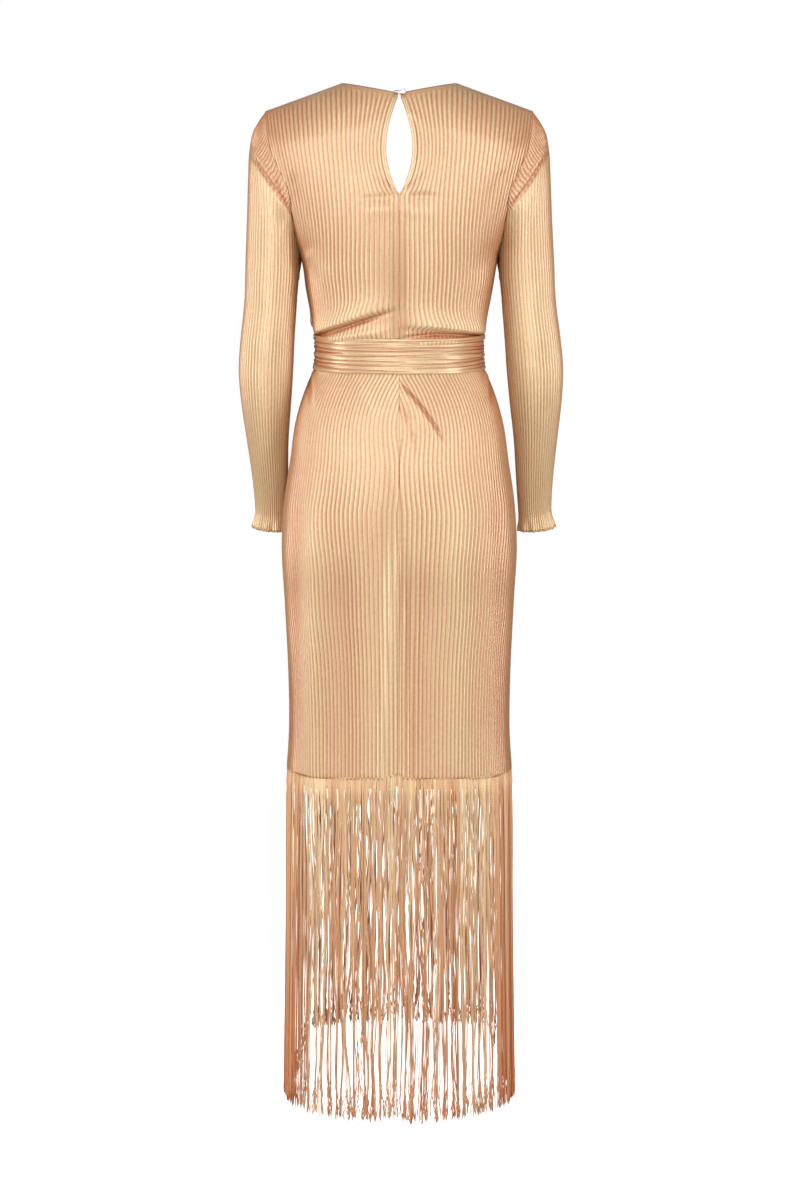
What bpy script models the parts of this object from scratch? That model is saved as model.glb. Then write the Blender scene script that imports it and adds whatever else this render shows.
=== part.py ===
"""A long-sleeved maxi dress in fine pleated jersey, hollow as when it is worn.

It has a V-neck front, a keyhole back closed by one button and its loop, a gathered waist sash, and a hem with a
long fringe.

Sizes are in millimetres until a mesh is made. x points to the wearer's left, y to the back and z up, and z is 0
at the high point of the shoulders. The outer face of bodice, skirt and fringe is one surface; each piece is the
stretch of it between its seams, thickened inwards. An angle on that surface is counted from the centre line of
its face, the back or the front, towards the side seam, and is positive on the wearer's left.
"""

import math

import bmesh
import bpy
import numpy as np
from mathutils import Vector

MM = 0.001
BACK, FRONT = 1, -1  # the two faces of the body's surface
LEFT, RIGHT = 1, -1  # the two sides

# Driving sizes.
CLOTH = 1.5  # wall of the pleated jersey, measured over its pleats
GAP = 0.3  # between two pieces at a seam
NECK_HALF_WIDTH = 80
BACK_NECK_DROP = 14
FRONT_NECK_DROP = 180
SHOULDER_HALF_WIDTH = 187
SHOULDER_SLOPE = 0.36
SHOULDER_ROUND = 70  # height over which the cloth turns from the shoulder seam to upright
UNDERARM = -248
WAIST = -377
HEM = -977
SIDE_HEM_DROP = 8  # the hem is this much lower at the side seams than at the centre back
FRONT_HEM_RISE = 52  # and this much higher at the centre front
KEYHOLE_TOP, KEYHOLE_BOTTOM = -15, -151
KEYHOLE_HALF_WIDTH = 17
KEYHOLE_EDGE = 6.5  # width of the strip along the keyhole
KEYHOLE_EDGE_TOP = -20  # clear of the button
KEYHOLE_EDGE_WALL = 1.0
NECK_CORNER = 1.8  # half the space between the two back neck corners, under the button
SASH_MIDDLE, SASH_HALF = -375.5, 24.5
FRINGE_LENGTH = 506  # from the hem seam to the ends of the strings
HEADING_LAP, HEADING_DROP = 9, 15  # of the fringe's tape above and below the hem's edge
HEADING_WALL = 1.6
FRINGE_WALL = 5
CUFF = -638
CUFF_TILT = 2.5  # the cuff's outer side is this much higher than its middle
ARM_SWING = 6.5  # the left cuff hangs this much nearer to the skirt than the table gives, the right one farther
SHOULDER_POINT = SHOULDER_SLOPE * (NECK_HALF_WIDTH - SHOULDER_HALF_WIDTH)
ARMHOLE_STEPS = 10  # rows of cloth from the shoulder to the underarm
WAIST_ROWS = (-270, -292, -308, -321, -333, -343, -350.5, -376.85)
SKIRT_ROWS = (-377, -400, -419, -447, -490, -550, -620, -700, -790, -880, -968, -977)
BACK_COLUMNS, FRONT_COLUMNS = 20, 18  # of the skirt and its trims, from side seam to side seam
BUTTON_RADIUS = 4.2
BUTTON_PLACE = (-5, -14.5)  # x and z of its middle, on the right back piece
SHANK_RADIUS, SHANK_FOOT = 1.1, 0.4
LOOP_THICKNESS = 1.1
LOOP_REACH = 2.3  # from the button's middle to the middle of the loop's cord
LOOP_END = 7

SQUARENESS = 0.03  # of a section: 0 is an ellipse
QUARTER = math.pi / 2
SETTLING_STEPS = 25  # enough for an angle to settle to a thousandth of a millimetre


def table(columns, rows):
    """Rows of numbers with named columns, lowest height first, as arrays."""
    ordered = np.array(sorted(rows), float)
    return dict(zip(columns.split(), ordered.T))


# The body's sections: half the width at the side seams, and how far the centre back and front stand out.
BODY = table(
    "z half_width back front",
    [
        (20, 200, 78, 66),
        (-40, 196, 82, 70),
        (-80, 190, 89, 78),
        (-120, 181, 96, 91),
        (-160, 169, 99, 104),
        (-205, 153, 99, 116),
        (-248, 138, 96, 121),
        (-290, 132, 91, 115),
        (-320, 126, 88, 106),
        (-346, 120, 86, 99),
        (-377, 118, 86, 95),
        (-401, 121, 88, 96),
        (-418, 129, 92, 99),
        (-446, 139.5, 99, 103),
        (-475, 147.5, 106, 105),
        (-533, 156.5, 117, 108),
        (-590, 165, 122, 109),
        (-650, 169, 121, 109),
        (-737, 165.5, 115, 108),
        (-855, 161.5, 111, 108),
        (-930, 161.5, 111, 109),
        (-1005, 166, 113, 111),
        (-1186, 168.5, 115, 113),
        (-1480, 174, 121, 118),
    ],
)

# The armhole seam: how far it lies from the centre line on the back and on the front.
ARMHOLE = table(
    "z back front",
    [
        (-40, 187, 187),
        (-69, 184, 180),
        (-99, 177, 169),
        (-124, 165, 159),
        (-148, 154, 152),
        (-172, 150.5, 148),
        (-211, 146, 143),
        (-248, 138, 138),
    ],
)

# The left sleeve's level sections: its outer and inner side, half its depth, and its middle's place in y.
# Above the underarm the inner side only shapes the cap.
SLEEVE = table(
    "z outer inner half_depth middle",
    [
        (-40, 188.5, 150, 8, 0),
        (-50, 195.5, 150, 22, 0),
        (-65, 204, 148, 33, 0),
        (-92, 210, 146, 41, 0),
        (-130, 212.5, 143.5, 46, 0),
        (-180, 214.5, 142, 47.5, 1),
        (-248, 218, 141.5, 47, 2),
        (-303, 220.5, 145.5, 45.5, 3),
        (-360, 227.5, 150, 44, 5),
        (-400, 231, 152.5, 42.5, 4),
        (-446, 229, 156.5, 40, -1),
        (-504, 223, 162.5, 36, -13),
        (-561, 217.5, 165.5, 31.5, -28),
        (-600, 215.5, 167.5, 28.5, -38),
        (-618, 216, 168.5, 28.5, -42),
        (-630, 219, 168, 31, -44),
        (-641, 222.5, 167, 34, -46),
    ],
)

# The largest folds of the back, as arcs from one end to the other: how far the cloth stands out on them (or in,
# below 0), how wide they are, and how far the middle of the arc lies above the straight line between its ends.
FOLDS = (
    dict(face=BACK, start=(96, -340), end=(20, -300), out=6.0, width=13, bow=6),
    dict(face=BACK, start=(112, -344), end=(22, -322), out=-4.5, width=7, bow=6),
    dict(face=BACK, start=(90, -341), end=(10, -342), out=3.0, width=9, bow=4),
    dict(face=BACK, start=(-16, -306), end=(-112, -338), out=6.0, width=13, bow=-4),
    dict(face=BACK, start=(-8, -347), end=(-112, -344), out=-4.0, width=7, bow=11),
    dict(face=FRONT, start=(100, -338), end=(26, -312), out=5.0, width=13, bow=5),
    dict(face=FRONT, start=(-18, -318), end=(-108, -340), out=5.0, width=13, bow=-3),
    dict(face=BACK, start=(-9, -720), end=(-8, -975), out=-4.0, width=11, bow=0),
    dict(face=BACK, start=(22, -760), end=(30, -975), out=4.0, width=16, bow=0),
)
FOLD_STEPS = 9  # points along the arc of a fold
FOLD_TAPER = 0.12  # share of a half turn by which a fold's ends are short of flat
FOLD_FADE = 9  # height over which the folds flatten to go under the sash


def smooth(heights, rows, column):
    """The table's value at these heights, on a curve without kinks through its rows."""
    x, y = rows["z"], rows[column]
    slopes = np.gradient(y, x)
    i = np.clip(np.searchsorted(x, heights) - 1, 0, len(x) - 2)
    step = x[i + 1] - x[i]
    f = np.clip((heights - x[i]) / step, 0, 1)
    rise = y[i + 1] - y[i]
    return (
        y[i]
        + rise * f * f * (3 - 2 * f)
        + step * f * (1 - f) * ((1 - f) * slopes[i] - f * slopes[i + 1])
    )


def section_x(angle):
    """Share of the half width at an angle from the centre line."""
    return (np.sin(angle) + SQUARENESS * np.sin(3 * angle)) / (1 - SQUARENESS)


def section_y(angle):
    """Share of the half depth at an angle from the centre line."""
    return (np.cos(angle) - SQUARENESS * np.cos(3 * angle)) / (1 - SQUARENESS)


ANGLES = np.linspace(0, QUARTER, 5000)
SHARES = section_x(ANGLES)


def half_depth(z):
    return (smooth(z, BODY, "back") + smooth(z, BODY, "front")) / 2


def flattening(z):
    """How unevenly a step of angle runs round the section, which is wider than it is deep."""
    width, depth = smooth(z, BODY, "half_width"), half_depth(z)
    return (width - depth) / (2 * (width + depth))


def quarter_length(z):
    """Cloth from the centre line to the side seam."""
    return QUARTER * np.sqrt((smooth(z, BODY, "half_width") ** 2 + half_depth(z) ** 2) / 2)


def angle_at(length, z):
    """Angle at a length of cloth from the centre line."""
    even = QUARTER * length / quarter_length(z)
    angle = even
    for _ in range(SETTLING_STEPS):
        angle = even - flattening(z) * np.sin(2 * angle)
    return angle


def length_at_x(x, z):
    """Length of cloth from the centre line to a distance x from it."""
    angle = np.interp(x / smooth(z, BODY, "half_width"), SHARES, ANGLES)
    return quarter_length(z) * (angle + flattening(z) * np.sin(2 * angle)) / QUARTER


def shoulder_height(x):
    """Height of the shoulder seam, carried on in a curve over the neck."""
    x = np.abs(x)
    over_neck = SHOULDER_SLOPE * (NECK_HALF_WIDTH**2 - x**2) / (2 * NECK_HALF_WIDTH)
    return np.where(x < NECK_HALF_WIDTH, over_neck, SHOULDER_SLOPE * (NECK_HALF_WIDTH - x))


def body(angle, z, face):
    """Points of the body's outer face."""
    x = smooth(z, BODY, "half_width") * section_x(angle)
    back, front = smooth(z, BODY, "back"), smooth(z, BODY, "front")
    y = (back - front) / 2 + face * (back + front) / 2 * section_y(angle)
    below = np.clip((shoulder_height(x) - z) / SHOULDER_ROUND, 0, 1)
    y = y * np.sqrt(1 - (1 - below) ** 2)
    return np.stack(np.broadcast_arrays(x, y, z), axis=-1)


def fold_height(x, z, face):
    """How far the folds move the cloth out."""
    moved = np.zeros(np.broadcast(x, z).shape)
    for fold in FOLDS:
        if fold["face"] != face:
            continue
        along = np.linspace(0, 1, FOLD_STEPS)
        start, end = np.array(fold["start"], float), np.array(fold["end"], float)
        middle = start + (end - start) * along[:, None]
        middle[:, 1] += fold["bow"] * 4 * along * (1 - along)
        strength = np.sin(math.pi * (FOLD_TAPER + (1 - 2 * FOLD_TAPER) * along))
        near = [
            share * np.exp(-((x - px) ** 2 + (z - pz) ** 2) / fold["width"] ** 2)
            for share, (px, pz) in zip(strength, middle)
        ]
        moved = moved + fold["out"] * np.max(near, axis=0)
    return moved * np.clip(np.abs(z - SASH_MIDDLE) / FOLD_FADE - SASH_HALF / FOLD_FADE, 0, 1)


def across(first, second):
    """Unit vectors square to both."""
    normal = np.cross(first, second)
    return normal / np.linalg.norm(normal, axis=-1, keepdims=True)


def body_normal(angle, z, face):
    """Outward directions of the body's surface, taken a hair lower to stay off the shoulder seam."""
    e, z = 0.0002, z - 0.005
    round_it = body(angle + e, z, face) - body(angle - e, z, face)
    down = body(angle, z - e, face) - body(angle, z + e, face)
    return np.asarray(face)[..., None] * across(round_it, down)


def wall(angle, z, face, out=0.0, thickness=CLOTH, shift=(0, 0, 0)):
    """The outer and inner points of a stretch of the body's cloth, moved out by this much."""
    points, normals = body(angle, z, face), body_normal(angle, z, face)
    raised = out + fold_height(points[..., 0], z, face)
    outer = points + normals * np.asarray(raised)[..., None] + shift
    return outer, outer - normals * thickness


def seam_shift(face, side=0):
    """Half a seam's gap, towards a piece's own face and side."""
    return np.array((side * GAP / 2, face * GAP / 2, 0))


# ---------------------------------------------------------------------------------------------- making meshes


def material(name, colour, roughness, metallic):
    made = bpy.data.materials.new(name)
    made.use_nodes = True
    shader = made.node_tree.nodes["Principled BSDF"]
    shader.inputs["Base Color"].default_value = (*colour, 1)
    shader.inputs["Roughness"].default_value = roughness
    shader.inputs["Metallic"].default_value = metallic
    return made


def add_object(name, mesh_builder, finish):
    mesh = bpy.data.meshes.new(name)
    bmesh.ops.recalc_face_normals(mesh_builder, faces=mesh_builder.faces)
    mesh_builder.to_mesh(mesh)
    mesh_builder.free()
    mesh.materials.append(finish)
    mesh.shade_smooth()
    mesh.set_sharp_from_angle(angle=math.radians(50))
    made = bpy.data.objects.new(name, mesh)
    bpy.context.scene.collection.objects.link(made)
    return made


def add_wall(name, outer, inner, finish, closed=False):
    """A solid between two grids of points, in rows; a closed one joins its last column to its first."""
    rows, columns, _ = outer.shape
    build = bmesh.new()
    out, into = (
        [[build.verts.new(Vector(p) * MM) for p in row] for row in grid] for grid in (outer, inner)
    )
    last = columns if closed else columns - 1
    for i in range(rows - 1):
        for j in range(last):
            k = (j + 1) % columns
            build.faces.new((out[i][j], out[i][k], out[i + 1][k], out[i + 1][j]))
            build.faces.new((into[i][j], into[i + 1][j], into[i + 1][k], into[i][k]))
    for j in range(last):
        k = (j + 1) % columns
        build.faces.new((out[0][j], into[0][j], into[0][k], out[0][k]))
        build.faces.new((out[-1][j], out[-1][k], into[-1][k], into[-1][j]))
    if not closed:
        for i in range(rows - 1):
            build.faces.new((out[i][0], out[i + 1][0], into[i + 1][0], into[i][0]))
            build.faces.new((out[i][-1], into[i][-1], into[i + 1][-1], out[i + 1][-1]))
    return add_object(name, build, finish)


# ----------------------------------------------------------------------------------------------------- bodice


def keyhole_half_width(z):
    """Half the opening between the two back pieces: almond-shaped, and closed below."""
    f = np.clip((z - KEYHOLE_TOP) / (KEYHOLE_BOTTOM - KEYHOLE_TOP), 0, 1)
    almond = KEYHOLE_HALF_WIDTH * np.sin(math.pi * f**1.07) ** 0.85
    return np.maximum(almond, NECK_CORNER * (1 - f) ** 8)


def armhole_length(z, face):
    """Length of cloth from the centre line to the armhole, or to the side seam below the underarm."""
    column = "back" if face == BACK else "front"
    seam = length_at_x(smooth(np.minimum(z, ARMHOLE["z"][-1]), ARMHOLE, column), z)
    return np.where(z > UNDERARM, np.minimum(seam, quarter_length(z)), quarter_length(z))


def neck_height(x, face):
    """Height of the neck's edge at a distance from the centre line."""
    share = np.minimum(np.abs(x) / NECK_HALF_WIDTH, 1)
    if face == BACK:
        return -BACK_NECK_DROP * (1 - share) ** 1.15
    return -FRONT_NECK_DROP * (1 - share**0.92)


def top_height(x, face):
    """Height of a bodice piece's upper edge: the neck, then the shoulder seam."""
    return np.where(np.abs(x) < NECK_HALF_WIDTH, neck_height(x, face), shoulder_height(x))


def bodice_grid(face, top_x, levels):
    """Angles and heights of a bodice piece: its columns start at these distances along its upper edge, and its
    rows are shares of the way down."""
    top_z = top_height(top_x, face)

    def edges(z):
        inner = keyhole_half_width(z) if face == BACK else np.zeros_like(z)
        return inner, armhole_length(z, face)

    length = length_at_x(top_x, top_z)
    share = (length - length[0]) / (length[-1] - length[0])
    bottom = WAIST + GAP / 2
    z = top_z + (bottom - top_z) * np.asarray(levels)[:, None]
    inner, outer = edges(z)
    return angle_at(inner + (outer - inner) * share, z), z


def top_columns(start, neck_steps, shoulder_steps):
    """Distances along a bodice piece's upper edge, with one at the corner of neck and shoulder."""
    neck = np.linspace(start, NECK_HALF_WIDTH, neck_steps + 1)
    shoulder = np.linspace(NECK_HALF_WIDTH, SHOULDER_HALF_WIDTH, shoulder_steps + 1)
    return np.concatenate([neck, shoulder[1:]])


def edge_heights():
    """Heights of a bodice piece's rows at its armhole and side seam: even steps round the armhole, then rows that
    follow the folds over the waist."""
    turn = np.linspace(0, math.pi, ARMHOLE_STEPS + 1)
    armhole = UNDERARM + (SHOULDER_POINT - UNDERARM) * (1 + np.cos(turn)) / 2
    return np.concatenate([armhole, WAIST_ROWS])


def row_levels():
    """The same rows as shares of the way down."""
    heights = edge_heights()
    return (heights - heights[0]) / (heights[-1] - heights[0])


def add_bodice_backs(finish):
    for side, name in ((LEFT, "bodice_back_left"), (RIGHT, "bodice_back_right")):
        angle, z = bodice_grid(BACK, top_columns(NECK_CORNER, 5, 6), row_levels())
        outer, inner = wall(side * angle, z, BACK, shift=seam_shift(BACK, side))
        add_wall(name, outer, inner, finish)


def add_keyhole_edges(finish):
    """The narrow strips along the keyhole, on the back pieces."""
    centre = -BACK_NECK_DROP + (WAIST + BACK_NECK_DROP) * row_levels()
    inside = centre[(centre < KEYHOLE_EDGE_TOP) & (centre > KEYHOLE_BOTTOM)]
    z = np.concatenate([[KEYHOLE_EDGE_TOP], inside, [KEYHOLE_BOTTOM]])[:, None]
    length = keyhole_half_width(z) + np.array((0, 0.5, 1)) * KEYHOLE_EDGE
    out = GAP + KEYHOLE_EDGE_WALL
    for side, name in ((LEFT, "keyhole_edge_left"), (RIGHT, "keyhole_edge_right")):
        angle = side * angle_at(length, z)
        outer, inner = wall(angle, z, BACK, out, KEYHOLE_EDGE_WALL, seam_shift(BACK, side))
        add_wall(name, outer, inner, finish)


def add_bodice_front(finish):
    angle, z = bodice_grid(FRONT, top_columns(0, 5, 3), row_levels())
    angle = np.hstack([-angle[:, :0:-1], angle])
    z = np.hstack([z[:, :0:-1], z])
    outer, inner = wall(angle, z, FRONT, shift=seam_shift(FRONT))
    add_wall("bodice_front", outer, inner, finish)


# ---------------------------------------------------------------------------------------------------- sleeves

SLEEVE_ROWS = (0, 0.035, 0.08, 0.14, 0.23, 0.34, 0.46, 0.58, 0.7, 0.82, 0.92, 0.965, 1)
CAP_BLEND = 75  # length over which the sleeve's head turns into its level sections


def sleeve_section(around, z):
    """Points of the left sleeve's level sections; around is 0 at the inner side and grows towards the back."""
    outer, inner = smooth(z, SLEEVE, "outer"), smooth(z, SLEEVE, "inner")
    x = (outer + inner) / 2 - (outer - inner) / 2 * np.cos(around)
    y = smooth(z, SLEEVE, "middle") + smooth(z, SLEEVE, "half_depth") * np.sin(around)
    return np.stack(np.broadcast_arrays(x, y, z), axis=-1)


def armhole_point(around):
    """The armhole seam as the sleeve's columns meet it, from the underarm over the shoulder and back."""
    z = UNDERARM + (SHOULDER_POINT - UNDERARM) * (1 - np.cos(around)) / 2
    on_back, on_front = (
        body(angle_at(armhole_length(z, face), z), z, face) for face in (BACK, FRONT)
    )
    return np.where((np.sin(around) >= 0)[..., None], on_back, on_front)


def sleeve(around, down):
    """Points of the left sleeve's outer face; down is 0 at the armhole and 1 at the cuff."""
    seam = armhole_point(around)
    z = seam[..., 2] + (CUFF - CUFF_TILT * np.cos(around) - seam[..., 2]) * down
    f = np.clip(1 - (seam[..., 2] - z) / CAP_BLEND, 0, 1)
    pull = (seam - sleeve_section(around, seam[..., 2])) * (f * f * (3 - 2 * f))[..., None]
    return sleeve_section(around, z) + pull


def sleeve_normal(around, down):
    e = 0.004
    round_it = sleeve(around + e, down) - sleeve(around - e, down)
    along = sleeve(around, np.minimum(down + e, 1)) - sleeve(around, np.maximum(down - e, 0))
    normal = across(round_it, along)
    # Over the shoulder the sleeve's first row takes the bodice's direction, so that the two edges lie parallel.
    over = ((1 - np.cos(around)) / 2) ** 3 * np.clip(1 - down / 0.03, 0, 1)
    slope = np.array((SHOULDER_SLOPE, 0, 1)) / math.hypot(SHOULDER_SLOPE, 1)
    normal = normal * (1 - over)[..., None] + slope * over[..., None]
    return normal / np.linalg.norm(normal, axis=-1, keepdims=True)


def add_sleeves(finish):
    around = np.linspace(0, 2 * math.pi, 2 * ARMHOLE_STEPS, endpoint=False)
    around, down = np.meshgrid(around, SLEEVE_ROWS)
    outer = sleeve(around, down) + (GAP * 1.5, 0, 0)
    inner = outer - sleeve_normal(around, down) * CLOTH
    swing = np.zeros(outer.shape)
    swing[..., 0] = ARM_SWING * np.array(SLEEVE_ROWS)[:, None] ** 2
    for side, name in ((LEFT, "sleeve_left"), (RIGHT, "sleeve_right")):
        mirror = (side, 1, 1)
        add_wall(name, outer * mirror - swing, inner * mirror - swing, finish, closed=True)


# ------------------------------------------------------------------------------------------------------ skirt


def hem_height(angle, face):
    """Height of the hem's edge: lowest at the side seams, and rising to the centre on the front."""
    sides = HEM - SIDE_HEM_DROP * np.sin(angle) ** 2
    rise = FRONT_HEM_RISE if face == FRONT else 0
    return sides + rise * np.cos(np.clip(1.35 * angle, -QUARTER, QUARTER)) ** 2


def skirt_grid(face, columns, heights):
    """Angles and heights of a skirt piece: columns are shares of the way to the side seam, and rows are the
    heights that a level hem would give."""
    share = (np.array(heights, float) - WAIST) / (HEM - WAIST)
    even = np.asarray(columns) * QUARTER
    top = WAIST - GAP / 2
    z = top + (hem_height(even, face) - top) * share[:, None]
    return angle_at(columns * quarter_length(z), z), z


def add_skirt(finish):
    for side, name in ((LEFT, "skirt_back_left"), (RIGHT, "skirt_back_right")):
        angle, z = skirt_grid(BACK, np.linspace(0, 1, BACK_COLUMNS // 2 + 1), SKIRT_ROWS)
        outer, inner = wall(side * angle, z, BACK, shift=seam_shift(BACK, side))
        add_wall(name, outer, inner, finish)
    angle, z = skirt_grid(FRONT, np.linspace(-1, 1, FRONT_COLUMNS + 1), SKIRT_ROWS)
    outer, inner = wall(angle, z, FRONT, shift=seam_shift(FRONT))
    add_wall("skirt_front", outer, inner, finish)


# ----------------------------------------------------------------------------------------------- waist sash

# The sash's folds across its width: the share of the way down, and how far the cloth stands out there.
SASH_FOLDS = table(
    "z out",
    [(0, 1.6), (0.14, 4.0), (0.32, 2.2), (0.5, 4.2), (0.67, 2.4), (0.85, 4.0), (1, 1.6)],
)
SASH_CLEARANCE = 1.8
SASH_COLUMNS = 36


def add_sash(finish):
    """A closed band round the waist, gathered into soft level folds."""
    share, out = SASH_FOLDS["z"], SASH_FOLDS["out"]
    round_it = np.linspace(-math.pi, math.pi, SASH_COLUMNS, endpoint=False)
    face = np.where(np.abs(round_it) <= QUARTER, BACK, FRONT)
    angle = np.where(face == BACK, round_it, np.sign(round_it) * math.pi - round_it)
    heights = SASH_MIDDLE + SASH_HALF * (1 - 2 * share)
    outer, inner = [], []
    for z, stands_out in zip(heights, out):
        level = np.full(SASH_COLUMNS, float(z))
        points, normals = body(angle, level, face), body_normal(angle, level, face) * (1, 1, 0)
        normals /= np.linalg.norm(normals, axis=-1, keepdims=True)
        inner.append(points + normals * SASH_CLEARANCE)
        outer.append(points + normals * (SASH_CLEARANCE + stands_out))
    add_wall("waist_sash", np.array(outer), np.array(inner), finish, closed=True)


# ------------------------------------------------------------------------------------------- fringe and button


def trim_grid(face, drops):
    """Angles and heights of a trim at the hem: its rows are heights below the hem's edge."""
    columns = np.linspace(-1, 1, (BACK_COLUMNS if face == BACK else FRONT_COLUMNS) + 1)
    edge = hem_height(columns * QUARTER, face)
    z = edge - np.array(drops)[:, None]
    return angle_at(columns * quarter_length(z), z), z


def add_fringe(face, place, tape, strings):
    """The fringe's tape, sewn behind the hem, and the space that its strings fill."""
    behind_hem = -(CLOTH + GAP)
    angle, z = trim_grid(face, (-HEADING_LAP, 0, HEADING_DROP))
    outer, inner = wall(angle, z, face, behind_hem, HEADING_WALL, seam_shift(face))
    add_wall(f"fringe_heading_{place}", outer, inner, tape)
    angle, z = trim_grid(face, np.linspace(HEADING_DROP + GAP, FRINGE_LENGTH, 4))
    outer, inner = wall(angle, z, face, -GAP, FRINGE_WALL, seam_shift(face))
    add_wall(f"fringe_{place}", outer, inner, strings)


def on_back(x, z, out):
    """A point of the back's outer face at a distance x from the centre line, moved out by this much."""
    angle = angle_at(length_at_x(abs(x), np.array(float(z))), z) * math.copysign(1, x)
    return Vector(body(angle, z, BACK) + body_normal(angle, z, BACK) * out)


def add_button(finish):
    """A small domed button on a shank, turned round its axis and set square to the right back piece."""
    profile = [
        (0, SHANK_FOOT), (SHANK_RADIUS, SHANK_FOOT), (SHANK_RADIUS, 2.5), (BUTTON_RADIUS * 0.8, 2.5),
        (BUTTON_RADIUS, 3.3), (BUTTON_RADIUS * 0.9, 4.4), (BUTTON_RADIUS * 0.62, 5.3), (0, 5.9),
    ]
    build = bmesh.new()
    verts = [build.verts.new((radius * MM, 0, out * MM)) for radius, out in profile]
    edges = [build.edges.new(pair) for pair in zip(verts, verts[1:])]
    bmesh.ops.spin(
        build, geom=verts + edges, axis=(0, 0, 1), cent=(0, 0, 0), steps=16, angle=2 * math.pi
    )
    bmesh.ops.remove_doubles(build, verts=build.verts, dist=0.02 * MM)
    button = add_object("keyhole_button", build, finish)
    outward = on_back(*BUTTON_PLACE, 1) - on_back(*BUTTON_PLACE, 0)
    button.location = on_back(*BUTTON_PLACE, 0) * MM
    button.rotation_euler = outward.to_track_quat("Z", "Y").to_euler()


def add_loop(finish):
    """The loop that the button goes through: from the left corner round the shank and back."""
    x, z = BUTTON_PLACE
    out = GAP + LOOP_THICKNESS / 2 + 0.2
    turn = np.linspace(0, math.pi, 9)
    places = [(x - math.sin(a) * LOOP_REACH, z + math.cos(a) * LOOP_REACH) for a in turn]
    ends = [(LOOP_END, z + LOOP_REACH * 0.9), (LOOP_END, z - LOOP_REACH * 0.9)]
    route = [on_back(*place, out) for place in (ends[0], *places, ends[1])]
    curve = bpy.data.curves.new("button_loop", "CURVE")
    curve.dimensions = "3D"
    curve.bevel_depth = LOOP_THICKNESS / 2 * MM
    curve.bevel_resolution = 2
    curve.use_fill_caps = True
    spline = curve.splines.new("POLY")
    spline.points.add(len(route) - 1)
    for point, place in zip(spline.points, route):
        point.co = (*(place * MM), 1)
    curve.materials.append(finish)
    loop = bpy.data.objects.new("button_loop", curve)
    bpy.context.scene.collection.objects.link(loop)


def main():
    for old in list(bpy.data.objects):
        bpy.data.objects.remove(old)
    jersey = material("pleated_jersey", (0.80, 0.56, 0.36), 0.38, 0.6)
    satin = material("sash_jersey", (0.78, 0.52, 0.33), 0.34, 0.6)
    strings = material("fringe_strings", (0.70, 0.44, 0.27), 0.5, 0.2)
    pearl = material("button_pearl", (0.9, 0.88, 0.84), 0.15, 0.3)
    cord = material("loop_cord", (0.66, 0.42, 0.26), 0.6, 0.0)
    add_bodice_backs(jersey)
    add_keyhole_edges(jersey)
    add_bodice_front(jersey)
    add_sleeves(jersey)
    add_skirt(jersey)
    add_sash(satin)
    add_fringe(BACK, "back", strings, strings)
    add_fringe(FRONT, "front", strings, strings)
    add_button(pearl)
    add_loop(cord)


main()
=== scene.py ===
"""Looks of the long-sleeved maxi dress in fine pleated jersey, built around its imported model.

Sizes are in millimetres until a mesh is made. x points to the wearer's left, y to the back and z up, and z
is 0 at the high point of the shoulders. The dress's surfaces are worked out as in the model, from the same
sizes and tables; the pleats, creases, seams and strings here lie on them.
"""

import math

import bmesh
import bpy
import numpy as np
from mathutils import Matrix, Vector


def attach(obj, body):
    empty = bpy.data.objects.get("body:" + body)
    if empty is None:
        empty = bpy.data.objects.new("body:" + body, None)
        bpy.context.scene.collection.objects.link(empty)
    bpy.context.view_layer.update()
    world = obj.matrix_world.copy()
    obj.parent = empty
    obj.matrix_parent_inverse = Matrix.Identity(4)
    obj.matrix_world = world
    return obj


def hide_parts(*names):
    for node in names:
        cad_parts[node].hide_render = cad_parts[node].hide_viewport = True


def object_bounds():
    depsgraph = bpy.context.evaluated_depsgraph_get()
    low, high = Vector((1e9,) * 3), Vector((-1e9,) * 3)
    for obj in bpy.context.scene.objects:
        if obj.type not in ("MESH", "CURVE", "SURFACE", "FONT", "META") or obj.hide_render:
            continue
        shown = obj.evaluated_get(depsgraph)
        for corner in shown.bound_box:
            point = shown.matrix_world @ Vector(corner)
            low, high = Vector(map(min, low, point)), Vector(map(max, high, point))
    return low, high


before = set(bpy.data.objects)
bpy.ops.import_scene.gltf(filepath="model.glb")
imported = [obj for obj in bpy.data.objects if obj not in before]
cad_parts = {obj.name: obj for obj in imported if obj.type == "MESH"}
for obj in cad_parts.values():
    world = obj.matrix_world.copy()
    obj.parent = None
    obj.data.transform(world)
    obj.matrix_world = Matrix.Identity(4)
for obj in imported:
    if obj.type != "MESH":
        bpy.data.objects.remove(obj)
cad_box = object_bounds()

MM = 0.001
BACK, FRONT = 1, -1  # the two faces of the body's surface
LEFT, RIGHT = 1, -1  # the two sides

# Driving sizes, as in the model.
CLOTH = 1.5
GAP = 0.3
NECK_HALF_WIDTH = 80
BACK_NECK_DROP = 14
FRONT_NECK_DROP = 180
SHOULDER_HALF_WIDTH = 187
SHOULDER_SLOPE = 0.36
SHOULDER_ROUND = 70
UNDERARM = -248
WAIST = -377
HEM = -977
SIDE_HEM_DROP = 8
FRONT_HEM_RISE = 52
KEYHOLE_TOP, KEYHOLE_BOTTOM = -15, -151
KEYHOLE_HALF_WIDTH = 17
KEYHOLE_EDGE = 6.5
KEYHOLE_EDGE_TOP = -20
NECK_CORNER = 1.8
SASH_MIDDLE, SASH_HALF = -375.5, 24.5
FRINGE_LENGTH = 506
HEADING_LAP, HEADING_DROP = 9, 15
CUFF = -638
CUFF_TILT = 2.5
ARM_SWING = 6.5
SHOULDER_POINT = SHOULDER_SLOPE * (NECK_HALF_WIDTH - SHOULDER_HALF_WIDTH)
BUTTON_PLACE = (-5, -14.5)
SQUARENESS = 0.03
QUARTER = math.pi / 2
SETTLING_STEPS = 25
CAP_BLEND = 38


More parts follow.
